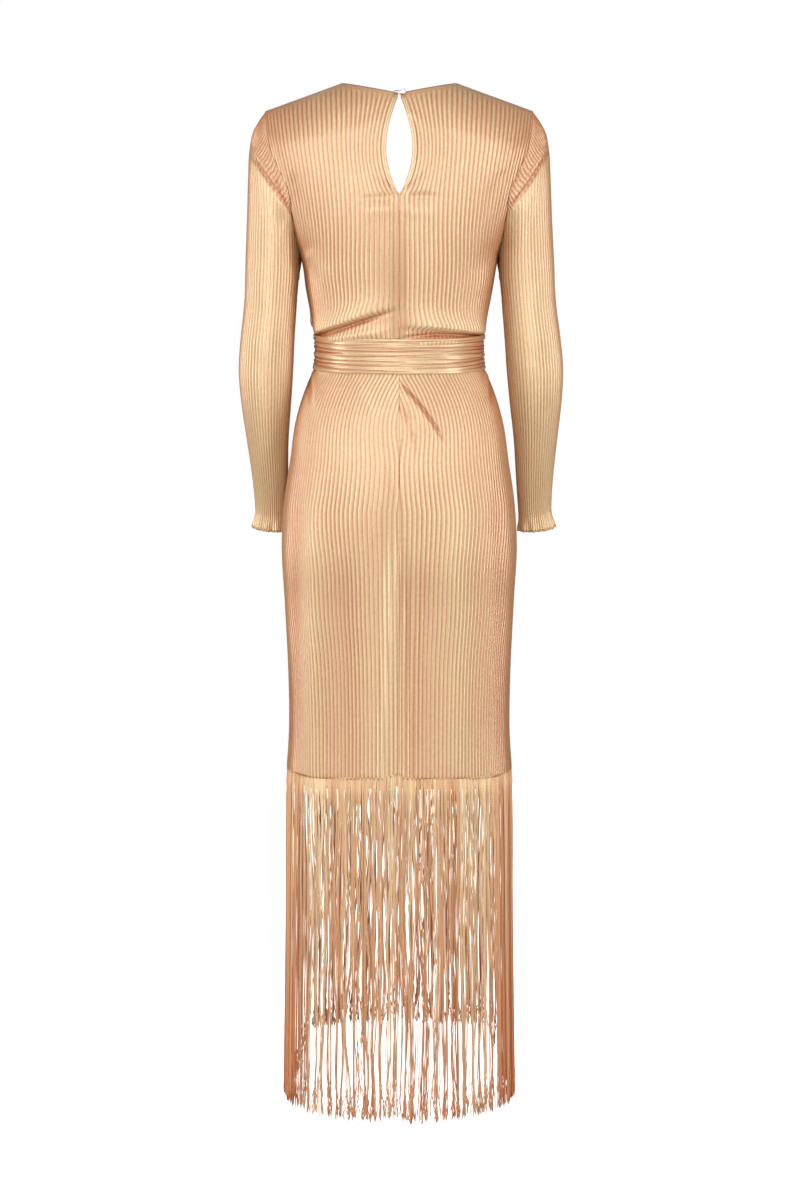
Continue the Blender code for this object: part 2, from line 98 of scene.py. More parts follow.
def table(columns, rows):
    """Rows of numbers with named columns, lowest first, as arrays."""
    ordered = np.array(sorted(rows), float)
    return dict(zip(columns.split(), ordered.T))


# The body's sections: half the width at the side seams, and how far the centre back and front stand out.
BODY = table(
    "z half_width back front",
    [
        (20, 200, 78, 66), (-40, 196, 82, 70), (-80, 190, 89, 78), (-120, 181, 96, 91),
        (-160, 169, 99, 104), (-205, 153, 99, 116), (-248, 138, 96, 121), (-290, 132, 91, 115),
        (-320, 126, 88, 106), (-346, 120, 86, 99), (-377, 118, 86, 95), (-401, 121, 88, 96),
        (-418, 129, 92, 99), (-446, 139.5, 99, 103), (-475, 147.5, 106, 105), (-533, 156.5, 117, 108),
        (-590, 165, 122, 109), (-650, 169, 121, 109), (-737, 165.5, 115, 108), (-855, 161.5, 111, 108),
        (-930, 161.5, 111, 109), (-1005, 166, 113, 111), (-1186, 168.5, 115, 113), (-1480, 174, 121, 118),
    ],
)

# The armhole seam: how far it lies from the centre line on the back and on the front.
ARMHOLE = table(
    "z back front",
    [
        (-40, 187, 187), (-69, 184, 180), (-99, 177, 169), (-124, 165, 159),
        (-148, 154, 152), (-172, 150.5, 148), (-211, 146, 143), (-248, 138, 138),
    ],
)

# The left sleeve's level sections: its outer and inner side, half its depth, and its middle's place in y.
SLEEVE = table(
    "z outer inner half_depth middle",
    [
        (-40, 188.5, 150, 8, 0), (-50, 195.5, 150, 22, 0), (-65, 204, 148, 33, 0),
        (-92, 210, 146, 41, 0), (-130, 212.5, 143.5, 46, 0), (-180, 214.5, 142, 47.5, 1),
        (-248, 218, 141.5, 47, 2), (-303, 220.5, 145.5, 45.5, 3), (-360, 227.5, 150, 44, 5),
        (-400, 231, 152.5, 42.5, 4), (-446, 229, 156.5, 40, -1), (-504, 223, 162.5, 36, -13),
        (-561, 217.5, 165.5, 31.5, -28), (-600, 215.5, 167.5, 28.5, -38), (-618, 216, 168.5, 28.5, -42),
        (-630, 219, 168, 31, -44), (-641, 222.5, 167, 34, -46),
    ],
)

# -------------------- pleats and creases

# Distance between two pleats, measured round the body.
BODICE_PITCH = table(
    "z pitch", [(0, 7.3), (-80, 6.9), (-125, 6.5), (-200, 6.1), (-255, 6.2), (-320, 5.8), (-377, 5.5)]
)
SKIRT_PITCH = table(
    "z pitch",
    [
        (-377, 5.3), (-456, 5.5), (-528, 6.1), (-600, 6.3), (-672, 5.95),
        (-744, 5.8), (-802, 5.55), (-888, 5.4), (-977, 5.4),
    ],
)
CAP_PLEATS = 96  # round a sleeve's cap: every second one runs out where the cap folds over
PLEAT_STEPS = (0, 0.16, 0.38, 0.62, 0.84)  # columns of a pleat, from one trough to the next
STEPS = len(PLEAT_STEPS)
PLEAT_DEPTH = 1.6  # from crest to trough
PLEAT_LEVEL = 0.62  # share of the depth that lies under the model's surface
PLEAT_ROUNDNESS = 0.72  # a lower power gives a fuller crest and a sharper trough
INNER_DEPTH = 1.7  # the inner face under the model's surface
CLOSED, CLOSED_HEIGHT = 0.7, 0.35  # in a sharp crease the pleats close up by this share, to this height
CREASE_SHADE = 0.75  # painted shade: how much deeper the colour is there
FOLD_LIGHT, FOLD_LIGHT_LIMIT = 0.045, 7  # painted light, paler for each millimetre that a fold stands out, and painted shade, deeper in a hollow; both up to this many millimetres
SIDE_SHADE = 0.4  # painted shade: how much deeper the colour is towards the side seams
TONE_RANGE = (-0.3, 1)
TINY = 1e-12  # keeps the centre line on its own side

# Creases and folds of each face: a smooth arc from start to end (x, z). The cloth stands out by this much on
# it (in, where negative), fades over these widths above and below, and is dragged sideways by the last value.
CREASES = {
    # start, end, bow, out, above, below, drag
    BACK: [
        ((127, -353), (-6, -300), 2, 7.6, 19, 3.8, 8),
        ((131, -358), (-4, -309), 2, -5.6, 2.2, 2.8, 0),
        ((112, -357), (-2, -336), 0, 4.6, 8, 8, 2),
        ((-130, -350), (10, -331), 4, 8.0, 19, 4.0, -8),
        ((-130, -355), (12, -353), 8, -6.0, 2.4, 3.0, 0),
        ((-8, -360), (-122, -362), 5, 3.0, 6, 7, -2),
        ((4, -152), (62, -156), -2, -2.2, 4, 9, 0),
        ((4, -172), (70, -178), 1, 1.5, 9, 8, 0),
        ((-4, -154), (-64, -156), 2, -2.2, 4, 9, 0),
        ((-4, -174), (-60, -180), 0, 1.5, 9, 8, 0),
        ((-6, -148), (-46, -108), -3, -2.0, 3.5, 5, 0),
        ((6, -146), (40, -128), 3, -1.7, 4, 5, 0),
        ((-8, -40), (-38, -66), 4, 1.1, 6, 7, 0),
        ((150, -118), (118, -186), -6, -1.7, 7, 7, 0),
        ((-150, -118), (-122, -180), 6, -1.7, 7, 7, 0),
        ((136, -232), (92, -286), 8, 1.8, 12, 12, 0),
        ((-136, -236), (-96, -292), -8, 1.6, 12, 12, 0),
        ((125, -398), (117, -474), 3, 1.5, 5, 4, 0),
        ((131, -402), (127, -452), 2, -1.4, 4, 4, 0),
        ((-124, -398), (-121, -470), -3, 1.5, 4, 5, 0),
        ((-131, -404), (-131, -456), -2, -1.3, 4, 4, 0),
        ((2, -408), (-70, -505), 5, -3.2, 2.0, 2.2, 0),
        ((-2, -420), (-66, -516), 5, 2.0, 5, 5, 0),
        ((0, -430), (-26, -520), 3, -1.4, 3, 4, 0),
        ((60, -400), (22, -470), -4, 1.2, 6, 6, 0),
        ((8, -600), (37, -1150), -4, 5.0, 9, 10, 0),
        ((-6, -620), (-14, -1150), 3, -4.0, 8, 9, 0),
        ((76, -620), (78, -1150), -2, -4.2, 18, 18, 0),
        ((117, -520), (122, -1150), 2, 5.6, 14, 13, 0),
        ((144, -480), (150, -1150), 2, -4.2, 9, 10, 0),
        ((-34, -640), (-36, -1150), -3, -3.0, 13, 12, 0),
        ((-80, -520), (-90, -1150), -2, 4.8, 19, 19, 0),
        ((-138, -500), (-149, -1150), 2, -4.0, 10, 10, 0),
    ],
    FRONT: [
        ((132, -350), (12, -292), 4, 7.5, 18, 8, 8),
        ((140, -353), (10, -314), 3, -6.0, 3.8, 4.5, 0),
        ((-4, -300), (-130, -348), 5, 7.0, 18, 8, -8),
        ((0, -324), (-138, -352), 5, -5.6, 3.8, 4.5, 0),
        ((88, -202), (20, -236), -6, 1.8, 11, 12, 0),
        ((-96, -198), (-26, -240), -6, 1.8, 11, 12, 0),
        ((150, -122), (112, -178), -6, -2.0, 7, 7, 0),
        ((-150, -126), (-110, -184), 6, -2.0, 7, 7, 0),
        ((128, -402), (66, -452), 6, 1.8, 7, 8, 0),
        ((-126, -400), (-58, -462), 7, 1.9, 8, 7, 0),
        ((30, -500), (46, -1100), 4, 4.0, 11, 12, 0),
        ((-16, -540), (-34, -1100), -3, -3.4, 10, 11, 0),
        ((-70, -500), (-86, -1130), 5, 3.6, 15, 14, 0),
        ((84, -560), (90, -1120), 3, -3.2, 13, 13, 0),
        ((122, -520), (126, -1150), 3, 3.4, 12, 12, 0),
        ((-128, -540), (-134, -1150), -2, -3.0, 11, 11, 0),
    ],
}

# The same on the sleeves, left and then right: their back is the side that the back view shows.
SLEEVE_CREASES = {
    LEFT: {
        BACK: [
            ((212, -94), (140, -196), 2, -3.8, 2.5, 2.9, 0),
            ((210, -86), (142, -188), 2, 2.8, 3.6, 3.0, 0),
            ((172, -126), (150, -176), -3, -2.2, 2.5, 2.7, 0),
            ((224, -352), (158, -372), -3, 0.8, 9, 11, 0),
            ((222, -392), (160, -380), -2, -0.6, 9, 9, 0),
            ((206, -250), (176, -330), 2, 1.2, 9, 9, 0),
        ],
        FRONT: [
            ((210, -96), (146, -176), -2, -4.6, 3.4, 3.4, 0),
            ((206, -84), (150, -166), -2, 2.6, 5, 4, 0),
            ((226, -366), (158, -352), 3, -2.6, 6, 6, 0),
            ((226, -384), (160, -374), 2, 2.4, 8, 8, 0),
            ((224, -402), (162, -404), 1, -2.0, 6, 7, 0),
        ],
    },
    RIGHT: {
        BACK: [
            ((-212, -90), (-142, -188), -2, -3.8, 2.5, 2.9, 0),
            ((-210, -82), (-144, -180), -2, 2.8, 3.6, 3.0, 0),
            ((-174, -112), (-152, -166), 3, -2.2, 2.5, 2.7, 0),
            ((-228, -352), (-164, -366), 3, 0.8, 9, 10, 0),
            ((-226, -392), (-166, -376), 2, -1.3, 8, 8, 0),
            ((-210, -246), (-180, -322), -2, 1.2, 9, 9, 0),
        ],
        FRONT: [
            ((-210, -94), (-146, -172), 2, -4.6, 3.4, 3.4, 0),
            ((-206, -82), (-150, -162), 2, 2.6, 5, 4, 0),
            ((-230, -362), (-166, -352), -3, -2.6, 6, 6, 0),
            ((-230, -382), (-168, -372), -2, 2.4, 8, 8, 0),
            ((-228, -404), (-170, -402), -1, -2.0, 6, 7, 0),
        ],
    },
}


def smooth(heights, rows, column):
    """The table's value at these heights, on a curve without kinks through its rows."""
    x, y = rows["z"], rows[column]
    slopes = np.gradient(y, x)
    i = np.clip(np.searchsorted(x, heights) - 1, 0, len(x) - 2)
    step = x[i + 1] - x[i]
    f = np.clip((heights - x[i]) / step, 0, 1)
    rise = y[i + 1] - y[i]
    return (
        y[i]
        + rise * f * f * (3 - 2 * f)
        + step * f * (1 - f) * ((1 - f) * slopes[i] - f * slopes[i + 1])
    )


def ease(f):
    """0 to 1 with a soft start and end."""
    f = np.clip(f, 0, 1)
    return f * f * (3 - 2 * f)


def section_x(angle):
    """Share of the half width at an angle from the centre line."""
    return (np.sin(angle) + SQUARENESS * np.sin(3 * angle)) / (1 - SQUARENESS)


def section_y(angle):
    """Share of the half depth at an angle from the centre line."""
    return (np.cos(angle) - SQUARENESS * np.cos(3 * angle)) / (1 - SQUARENESS)


ANGLES = np.linspace(0, QUARTER, 5000)
SHARES = section_x(ANGLES)


def half_depth(z):
    """Half the body's depth, back to front."""
    return (smooth(z, BODY, "back") + smooth(z, BODY, "front")) / 2


def flattening(z):
    """How unevenly a step of angle runs round the section, which is wider than it is deep."""
    width, depth = smooth(z, BODY, "half_width"), half_depth(z)
    return (width - depth) / (2 * (width + depth))


def quarter_length(z):
    """Cloth from the centre line to the side seam."""
    return QUARTER * np.sqrt((smooth(z, BODY, "half_width") ** 2 + half_depth(z) ** 2) / 2)


def angle_at(length, z):
    """Angle at a length of cloth from the centre line."""
    even = QUARTER * length / quarter_length(z)
    angle = even
    for _ in range(SETTLING_STEPS):
        angle = even - flattening(z) * np.sin(2 * angle)
    return angle


def length_at_x(x, z):
    """Length of cloth from the centre line to a distance x from it."""
    angle = np.interp(x / smooth(z, BODY, "half_width"), SHARES, ANGLES)
    return quarter_length(z) * (angle + flattening(z) * np.sin(2 * angle)) / QUARTER


def shoulder_height(x):
    """Height of the shoulder seam, carried on in a curve over the neck."""
    x = np.abs(x)
    over_neck = SHOULDER_SLOPE * (NECK_HALF_WIDTH**2 - x**2) / (2 * NECK_HALF_WIDTH)
    return np.where(x < NECK_HALF_WIDTH, over_neck, SHOULDER_SLOPE * (NECK_HALF_WIDTH - x))


def body(angle, z, face):
    """Points of the body's outer face."""
    x = smooth(z, BODY, "half_width") * section_x(angle)
    back, front = smooth(z, BODY, "back"), smooth(z, BODY, "front")
    y = (back - front) / 2 + face * (back + front) / 2 * section_y(angle)
    below = np.clip((shoulder_height(x) - z) / SHOULDER_ROUND, 0, 1)
    y = y * np.sqrt(1 - (1 - below) ** 2)
    return np.stack(np.broadcast_arrays(x, y, z), axis=-1)


def across(first, second):
    """Unit vectors square to both."""
    normal = np.cross(first, second)
    return normal / np.linalg.norm(normal, axis=-1, keepdims=True)


def body_normal(angle, z, face):
    """Outward directions of the body's surface, taken a hair lower to stay off the shoulder seam."""
    e, z = 0.0002, z - 0.005
    round_it = body(angle + e, z, face) - body(angle - e, z, face)
    down = body(angle, z - e, face) - body(angle, z + e, face)
    return np.asarray(face)[..., None] * across(round_it, down)


NARROW = 4.5  # a crease under this width is a sharp one: painted shade darkens it, and its pleats close up
CREASE_START, CREASE_END = 0.2, 0.45  # shares of a crease's run over which it grows and fades


def crease(x, z, start, end, bow, above, below):
    """How strongly a crease acts here: 1 on the middle of its arc, fading to its sides and ends."""
    (x0, z0), (x1, z1) = start, end
    run, rise = x1 - x0, z1 - z0
    reach = math.hypot(run, rise)
    along = ((x - x0) * run + (z - z0) * rise) / reach**2
    inside = np.clip(along, 0, 1)
    off = ((z - z0) * run - (x - x0) * rise) / reach * (1 if run > 0 else -1)
    off = off - bow * 4 * inside * (1 - inside)
    width = np.where(off > 0, above, below)
    ends = ease(inside / CREASE_START) * ease((1 - inside) / CREASE_END)
    return ends * np.exp(-((off / width) ** 2))


def creases_at(x, z, face, creases):
    """How far the creases move the cloth out, how far they drag it sideways, and how deep in one it lies."""
    out, drag, shade = np.zeros(np.shape(x)), np.zeros(np.shape(x)), np.zeros(np.shape(x))
    for start, end, bow, height, above, below, sideways in creases[face]:
        strength = crease(x, z, start, end, bow, above, below)
        out = out + height * strength
        drag = drag + sideways * strength
        if height < 0 and below < NARROW:
            shade = shade + strength * np.minimum(-height / NARROW, 1)
    return out, drag, np.minimum(shade, 1)


def pleat(phase):
    """Height of the cloth across a pleat: a sharp trough at whole numbers and a round crest between."""
    return np.abs(np.sin(math.pi * phase)) ** PLEAT_ROUNDNESS


# -------------------- making meshes


def shell_faces(rows, columns, closed):
    """Faces of a thin shell: a fine outer grid, an inner one with one column a pleat, and their rim."""
    out = np.arange(rows * columns).reshape(rows, columns)
    into = out.size + np.arange(rows * len(out[0, ::STEPS])).reshape(rows, -1)
    if closed:
        out, into = (np.hstack([grid, grid[:, :1]]) for grid in (out, into))
    corners = [np.stack([g[:-1, :-1], g[:-1, 1:], g[1:, 1:], g[1:, :-1]], axis=-1) for g in (out, into)]
    faces = [*corners[0].reshape(-1, 4).tolist(), *corners[1][..., [0, 3, 2, 1]].reshape(-1, 4).tolist()]
    smooth_count = len(faces)
    for j in range(into.shape[1] - 1):
        for i in (0, rows - 1):
            face = [*out[i, j * STEPS : (j + 1) * STEPS + 1].tolist(), int(into[i, j + 1]), int(into[i, j])]
            faces.append(face[::-1] if i == 0 else face)
    if not closed:
        ends = zip(out[:, 0].tolist(), out[:, -1].tolist(), into[:, 0].tolist(), into[:, -1].tolist())
        ends = list(ends)
        for (a, b, c, d), (below_a, below_b, below_c, below_d) in zip(ends, ends[1:]):
            faces += [(a, below_a, below_c, c), (b, d, below_d, below_b)]
    return faces, smooth_count


def add_object(name, data):
    """An object in the scene that holds this mesh, light or camera."""
    made = bpy.data.objects.new(name, data)
    bpy.context.scene.collection.objects.link(made)
    return made


def add_mesh(name, points, faces, finish, smooth_count=None, values=None):
    """A mesh object from points in millimetres, with named values on its points for the materials."""
    mesh = bpy.data.meshes.new(name)
    mesh.from_pydata((np.asarray(points).reshape(-1, 3) * MM).tolist(), [], faces)
    flags = np.ones(len(faces), bool)
    if smooth_count is not None:
        flags[smooth_count:] = False
    mesh.polygons.foreach_set("use_smooth", flags)
    for label, array in (values or {}).items():
        kind = "FLOAT_VECTOR" if np.ndim(array) == 2 else "FLOAT"
        field = "vector" if kind == "FLOAT_VECTOR" else "value"
        made = mesh.attributes.new(label, kind, "POINT")
        made.data.foreach_set(field, np.asarray(array, np.float32).ravel())
    mesh.materials.append(finish)
    build = bmesh.new()
    build.from_mesh(mesh)
    bmesh.ops.recalc_face_normals(build, faces=build.faces)
    build.to_mesh(mesh)
    build.free()
    return add_object(name, mesh)


def in_place(piece, node=None):
    """Rides a piece on the dress's one body, in place of the model's node."""
    if node:
        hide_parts(node)
    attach(piece, "root")


CUTS = {}  # the flat size of each piece of cloth


def cut_size(grid, closed):
    """Width, length and area of the cloth that a grid of points follows, in metres."""
    if closed:
        grid = np.concatenate([grid, grid[:, :1]], axis=1)
    grid = grid * MM
    width = np.linalg.norm(np.diff(grid, axis=1), axis=-1).sum(axis=1).max()
    length = np.linalg.norm(np.diff(grid, axis=0), axis=-1).sum(axis=0).max()
    falling, rising = grid[1:, 1:] - grid[:-1, :-1], grid[1:, :-1] - grid[:-1, 1:]
    area = np.linalg.norm(np.cross(falling, rising), axis=-1).sum() / 2
    return {"flat": (float(width), float(length)), "area": float(area)}


def cloth_across(face, z):
    """Length of the body's section from the centre line to the side seam."""
    points = body(np.linspace(0, QUARTER, 200), z, face)
    return float(np.linalg.norm(np.diff(points, axis=0), axis=-1).sum())


def add_shell(name, outer, inner, lengths, heights, trough, finish, closed=False, width=None):
    """A thin shell between a fine outer grid and an inner one that has one column a pleat."""
    rows, columns, _ = outer.shape
    faces, smooth_count = shell_faces(rows, columns, closed)
    inner = inner[:, ::STEPS]
    CUTS[name] = cut_size(inner, closed)
    if width:
        CUTS[name]["flat"] = (width * MM, CUTS[name]["flat"][1])
    weave = np.stack([lengths, heights, np.zeros_like(lengths)], axis=-1)
    points = np.concatenate([outer.reshape(-1, 3), inner.reshape(-1, 3)])
    values = {
        "weave": np.concatenate([weave.reshape(-1, 3), weave[:, ::STEPS].reshape(-1, 3)]),
        "trough": np.concatenate([trough.ravel(), np.full(inner.shape[0] * inner.shape[1], 0.5)]),
    }
    return add_mesh(name, points, faces, finish, smooth_count, values)


def tubes(lines, radii, sides, out_from, closed=False):
    """Points and faces of round tubes along many lines at once; out_from gives each point's first side."""
    count, rows, _ = lines.shape
    tangent = np.gradient(lines, axis=1)
    tangent /= np.linalg.norm(tangent, axis=-1, keepdims=True)
    second = across(tangent, out_from)
    first = across(second, tangent)
    turn = np.arange(sides) * 2 * math.pi / sides
    ring = (
        first[:, :, None] * np.cos(turn)[:, None] + second[:, :, None] * np.sin(turn)[:, None]
    ) * np.asarray(radii)[..., None, None]
    points = lines[:, :, None] + ring
    k = np.arange(sides)
    here = np.arange(count)[:, None, None] * rows * sides + np.arange(rows - 1)[:, None] * sides
    quads = np.stack(
        [here + k, here + (k + 1) % sides, here + (k + 1) % sides + sides, here + k + sides], axis=-1
    )
    faces = quads.reshape(-1, 4).tolist()
    if not closed:
        starts = np.arange(count)[:, None] * rows * sides + k
        faces += starts[:, ::-1].tolist()
        faces += (starts + (rows - 1) * sides).tolist()
    return points, faces


# -------------------- materials

WALE, COURSE = 1.1, 0.8  # the knit's stitches: their width, and the height of a row
YARN_TWIST = 2.2  # length of one turn of a string's plies
BUMP_DEPTH = 0.0002  # in metres, as the shader reads it


class Nodes:
    """A tree of shader nodes, to which nodes are added with their settings and inputs by name."""

    def __init__(self, tree):
        self.tree = tree

    def add(self, kind, settings=None, **inputs):
        """A node; its inputs go by name, with _ for a space, or by number after an i."""
        made = self.tree.nodes.new(kind)
        for key, value in (settings or {}).items():
            setattr(made, key, value)
        for key, value in inputs.items():
            self.put(made, int(key[1:]) if key[1:].isdigit() else key.replace("_", " "), value)
        return made

    def put(self, target, key, value):
        """Joins an input to another node's output, or gives it a value."""
        if isinstance(value, bpy.types.NodeSocket):
            self.tree.links.new(value, target.inputs[key])
        else:
            target.inputs[key].default_value = value

    def math(self, operation, first, second=0.0):
        return self.add("ShaderNodeMath", {"operation": operation}, i0=first, i1=second).outputs[0]

    def noise(self, vector, scale, detail=2.0):
        made = self.add("ShaderNodeTexNoise", None, Vector=vector, Scale=scale, Detail=detail)
        return made.outputs[0]

    def scaled(self, vector, factors):
        made = self.add("ShaderNodeVectorMath", {"operation": "MULTIPLY"}, i0=vector, i1=factors)
        return made.outputs[0]

    def ramp(self, value, low, high, to_low=0.0, to_high=1.0):
        """The value's range from low to high, carried over to another range and held at its ends."""
        made = self.add("ShaderNodeMapRange", None, Value=value)
        for key, number in zip(("From Min", "From Max", "To Min", "To Max"), (low, high, to_low, to_high)):
            made.inputs[key].default_value = number
        return made.outputs[0]

    def mix(self, share, first, second):
        """A colour between two; the mixing node keeps its colours on the inputs 6 and 7."""
        return self.add("ShaderNodeMix", {"data_type": "RGBA"}, i0=share, i6=first, i7=second).outputs[2]

    def attribute(self, name, output):
        return self.add("ShaderNodeAttribute", {"attribute_name": name}).outputs[output]

    def bump(self, height, strength):
        made = self.add("ShaderNodeBump", None, Height=height, Strength=strength, Distance=BUMP_DEPTH)
        return made.outputs[0]


class Finish(Nodes):
    """A material under construction."""

    def __init__(self, name):
        self.material = bpy.data.materials.new(name)
        self.material.use_nodes = True
        super().__init__(self.material.node_tree)

    def surface(self, **inputs):
        """The finished material, whose shader takes these inputs."""
        for key, value in inputs.items():
            self.put(self.tree.nodes["Principled BSDF"], key.replace("_", " "), value)
        return self.material


def rgb(text):
    """A colour written as in a paint chart, in the renderer's linear values."""
    parts = [int(text[i : i + 2], 16) / 255 for i in (0, 2, 4)]
    return (*(p / 12.92 if p <= 0.04045 else ((p + 0.055) / 1.055) ** 2.4 for p in parts), 1)


def jersey(name, crest, shaded_hollow):
    """Pleated metallic jersey: fine knit stitches, painted shade that makes the troughs darker and redder
    than the paler crests, and a foil-like sheen.
    """
    made = Finish(name)
    weave = made.attribute("weave", "Vector")
    trough = made.attribute("trough", "Fac")
    knit = made.add("ShaderNodeSeparateXYZ", None, Vector=weave)
    over = made.math("SINE", made.math("MULTIPLY", knit.outputs[0], 2 * math.pi / WALE))
    slant = made.math("MULTIPLY", made.math("ABSOLUTE", over), 0.9)
    down = made.math("ADD", made.math("MULTIPLY", knit.outputs[1], 2 * math.pi / COURSE), slant)
    stitch = made.math("MULTIPLY", made.math("SINE", down), made.math("ABSOLUTE", over))
    grain = made.noise(made.scaled(weave, (0.28, 0.16, 1)), 1.0, 2.0)
    cloud = made.noise(made.scaled(weave, (0.02, 0.012, 1)), 1.0, 2.0)
    fleck = made.noise(made.scaled(weave, (0.8, 0.45, 1)), 1.0, 1.0)
    depth = made.math("ADD", made.math("MULTIPLY", trough, 0.9), made.ramp(grain, 0.35, 0.65, -0.06, 0.06))
    depth = made.math("ADD", depth, made.ramp(stitch, -0.6, 0.6, 0.07, -0.07))
    depth = made.math("ADD", depth, made.ramp(fleck, 0.3, 0.7, -0.12, 0.12))
    # The trough value mixes from the crest colour, paler as a painted highlight, to the hollow colour, a
    # painted shade.
    colour = made.mix(made.ramp(depth, -0.25, 0.9), rgb(crest), rgb(shaded_hollow))
    colour = made.mix(made.ramp(cloud, 0.35, 0.65, 0.0, 0.12), colour, rgb(shaded_hollow))
    return made.surface(
        Base_Color=colour,
        Metallic=0.12,
        IOR=2.6,
        Specular_Tint=(1.0, 0.88, 0.68, 1.0),
        Roughness=made.ramp(grain, 0.3, 0.7, 0.34, 0.42),
        Normal=made.bump(grain, 0.15),
    )


def yarn(name, light, dark):
    """Twisted rayon strings, each with its own tone and painted shade."""
    made = Finish(name)
    weave = made.attribute("weave", "Vector")
    tone = made.attribute("tone", "Fac")
    parts = made.add("ShaderNodeSeparateXYZ", None, Vector=weave)
    rising = made.math("MULTIPLY", parts.outputs[1], 2 * math.pi / YARN_TWIST)
    turn = made.math("ADD", parts.outputs[0], rising)
    ply = made.math("SINE", turn)
    grain = made.noise(made.scaled(weave, (1.2, 0.5, 1)), 1.0, 2.0)
    share = made.math("ADD", made.math("MULTIPLY", tone, 0.85), made.ramp(ply, -1, 1, 0.15, 0.0))
    colour = made.mix(share, rgb(light), rgb(dark))
    return made.surface(
        Base_Color=colour,
        Metallic=0.1,
        Specular_IOR_Level=0.2,
        Roughness=made.ramp(grain, 0.3, 0.7, 0.42, 0.6),
        Normal=made.bump(ply, 0.3),
    )


def thread(name, colour):
    """Sewing thread, cord or an overlocked edge."""
    made = Finish(name)
    place = made.add("ShaderNodeTexCoord").outputs["Object"]
    grain = made.noise(place, 2500.0, 2.0)
    dark = tuple(0.6 * part for part in rgb(colour)[:3]) + (1,)
    return made.surface(
        Base_Color=made.mix(made.ramp(grain, 0.35, 0.65), rgb(colour), dark),
        Roughness=0.55,
        Normal=made.bump(grain, 0.5),
    )


def pearl(name):
    """Clouded mother-of-pearl under a clear coat."""
    made = Finish(name)
    place = made.add("ShaderNodeTexCoord").outputs["Object"]
    cloud = made.noise(place, 300.0, 3.0)
    return made.surface(
        Base_Color=made.mix(cloud, rgb("F6EEE4"), rgb("E4D3C6")),
        Metallic=0.1,
        Roughness=0.16,
        Coat_Weight=0.6,
        Coat_Roughness=0.08,
    )


# -------------------- bodice

ROW_SHARE = {BACK: 1, FRONT: 0.68}  # the plainer front has fewer rows
FOLDS_TOP = -284
BODICE_BOTTOM = WAIST + GAP / 2
BODICE_LEVELS = ((SHOULDER_POINT, 96), (FOLDS_TOP, 49), (BODICE_BOTTOM, 0))  # start and rows of each stretch
PLEATS_TO = 23  # the pleats whose columns the bodice's grid follows
FAR_COLUMNS = 50  # even ones, from there to the armhole
KEYHOLE_SWAY = 34  # the pleats run along the keyhole beside it, and straight this far off
SEAM_BAND = 7.2  # the cloth is pressed flat this far beside the centre back seam
BAND_FADE = 1.2
PRESSED_HEIGHT, PRESSED_TONE = 0.72, 0.22
STRETCHED = 0.2  # how far the middle of the back is pulled smooth, between these heights
STRETCHED_TOP, STRETCHED_BOTTOM = -150, -350
STRETCHED_WIDTH = 48
NECK_TONE = 0.25  # where the pleats are caught into the neck's edge and the shoulder seam
# Painted shade near the top of the shoulders, where the cloth turns away from the light, fading over this
# reach.
SHOULDER_SHADE, SHOULDER_REACH = 0.03, 100

# At seams and edges the cloth dips in, and its colour is deeper: over this width, by this much. In the dips
# the deeper colour is painted shade.
ARMHOLE_DIP = (1.8, 0.25)
TOP_DIP = (1.6, 0.5)
CENTRE_DIP = (1.0, 0.55)
CENTRE_LINE = (1.2, 0.7)
BAND_DIP = (0.9, 0.35)
BAND_LINE = (1.0, 0.35)
SIDE_DIP = (1.8, 0.45)
SKIRT_CENTRE_DIP = (1.2, 0.45)
HEM_DIP = (2.2, 1.0)
DIP_SHADE = 0.3


def keyhole_half_width(z):
    """Half the opening between the two back pieces: almond-shaped, and closed below."""
    f = np.clip((z - KEYHOLE_TOP) / (KEYHOLE_BOTTOM - KEYHOLE_TOP), 0, 1)
    almond = KEYHOLE_HALF_WIDTH * np.sin(math.pi * f**1.07) ** 0.85
    return np.maximum(almond, NECK_CORNER * (1 - f) ** 8)


def armhole_length(z, face):
    """Length of cloth from the centre line to the armhole, or to the side seam below the underarm."""
    column = "back" if face == BACK else "front"
    seam = length_at_x(smooth(np.minimum(z, ARMHOLE["z"][-1]), ARMHOLE, column), z)
    return np.where(z > UNDERARM, np.minimum(seam, quarter_length(z)), quarter_length(z))


def neck_height(x, face):
    """Height of the neck's edge at a distance from the centre line."""
    share = np.minimum(np.abs(x) / NECK_HALF_WIDTH, 1)
    if face == BACK:
        return -BACK_NECK_DROP * (1 - share) ** 1.15
    return -FRONT_NECK_DROP * (1 - share**0.92)


def top_height(x, face):
    """Height of a bodice piece's upper edge: the neck, then the shoulder seam."""
    return np.where(np.abs(x) < NECK_HALF_WIDTH, neck_height(x, face), shoulder_height(x))


def pleat_columns(count):
    """The columns of this many pleats, counted in pleats."""
    return (np.arange(count)[:, None] + np.array(PLEAT_STEPS)).ravel()


def levels(stretches, share=1):
    """Rows along stretches that are given by their starts and numbers of rows; the last row is the end."""
    rows = [
        np.linspace(start, end, round(count * share), endpoint=False)
        for (start, count), (end, _) in zip(stretches, stretches[1:])
    ]
    return np.concatenate([*rows, [stretches[-1][0]]])


def down_from(top, bottom, stretches, face):
    """Heights of a grid's rows, from each column's top to its bottom, spaced as the stretches say."""
    rows = levels(stretches, ROW_SHARE[face])
    return top + (bottom - top) * ((rows - rows[0]) / (rows[-1] - rows[0]))[:, None]


def between(knots, places):
    """Values across a grid, whose columns lie at these places among the knots of every row."""
    stack = np.stack(np.broadcast_arrays(*knots))
    i = np.minimum(places.astype(int), len(knots) - 2)
    f = places - i
    columns = np.arange(len(places))
    return stack[i, :, columns].T * (1 - f) + stack[i + 1, :, columns].T * f


def x_at(length, z):
    """Distance from the centre line at a length of cloth."""
    return smooth(z, BODY, "half_width") * section_x(angle_at(length, z))


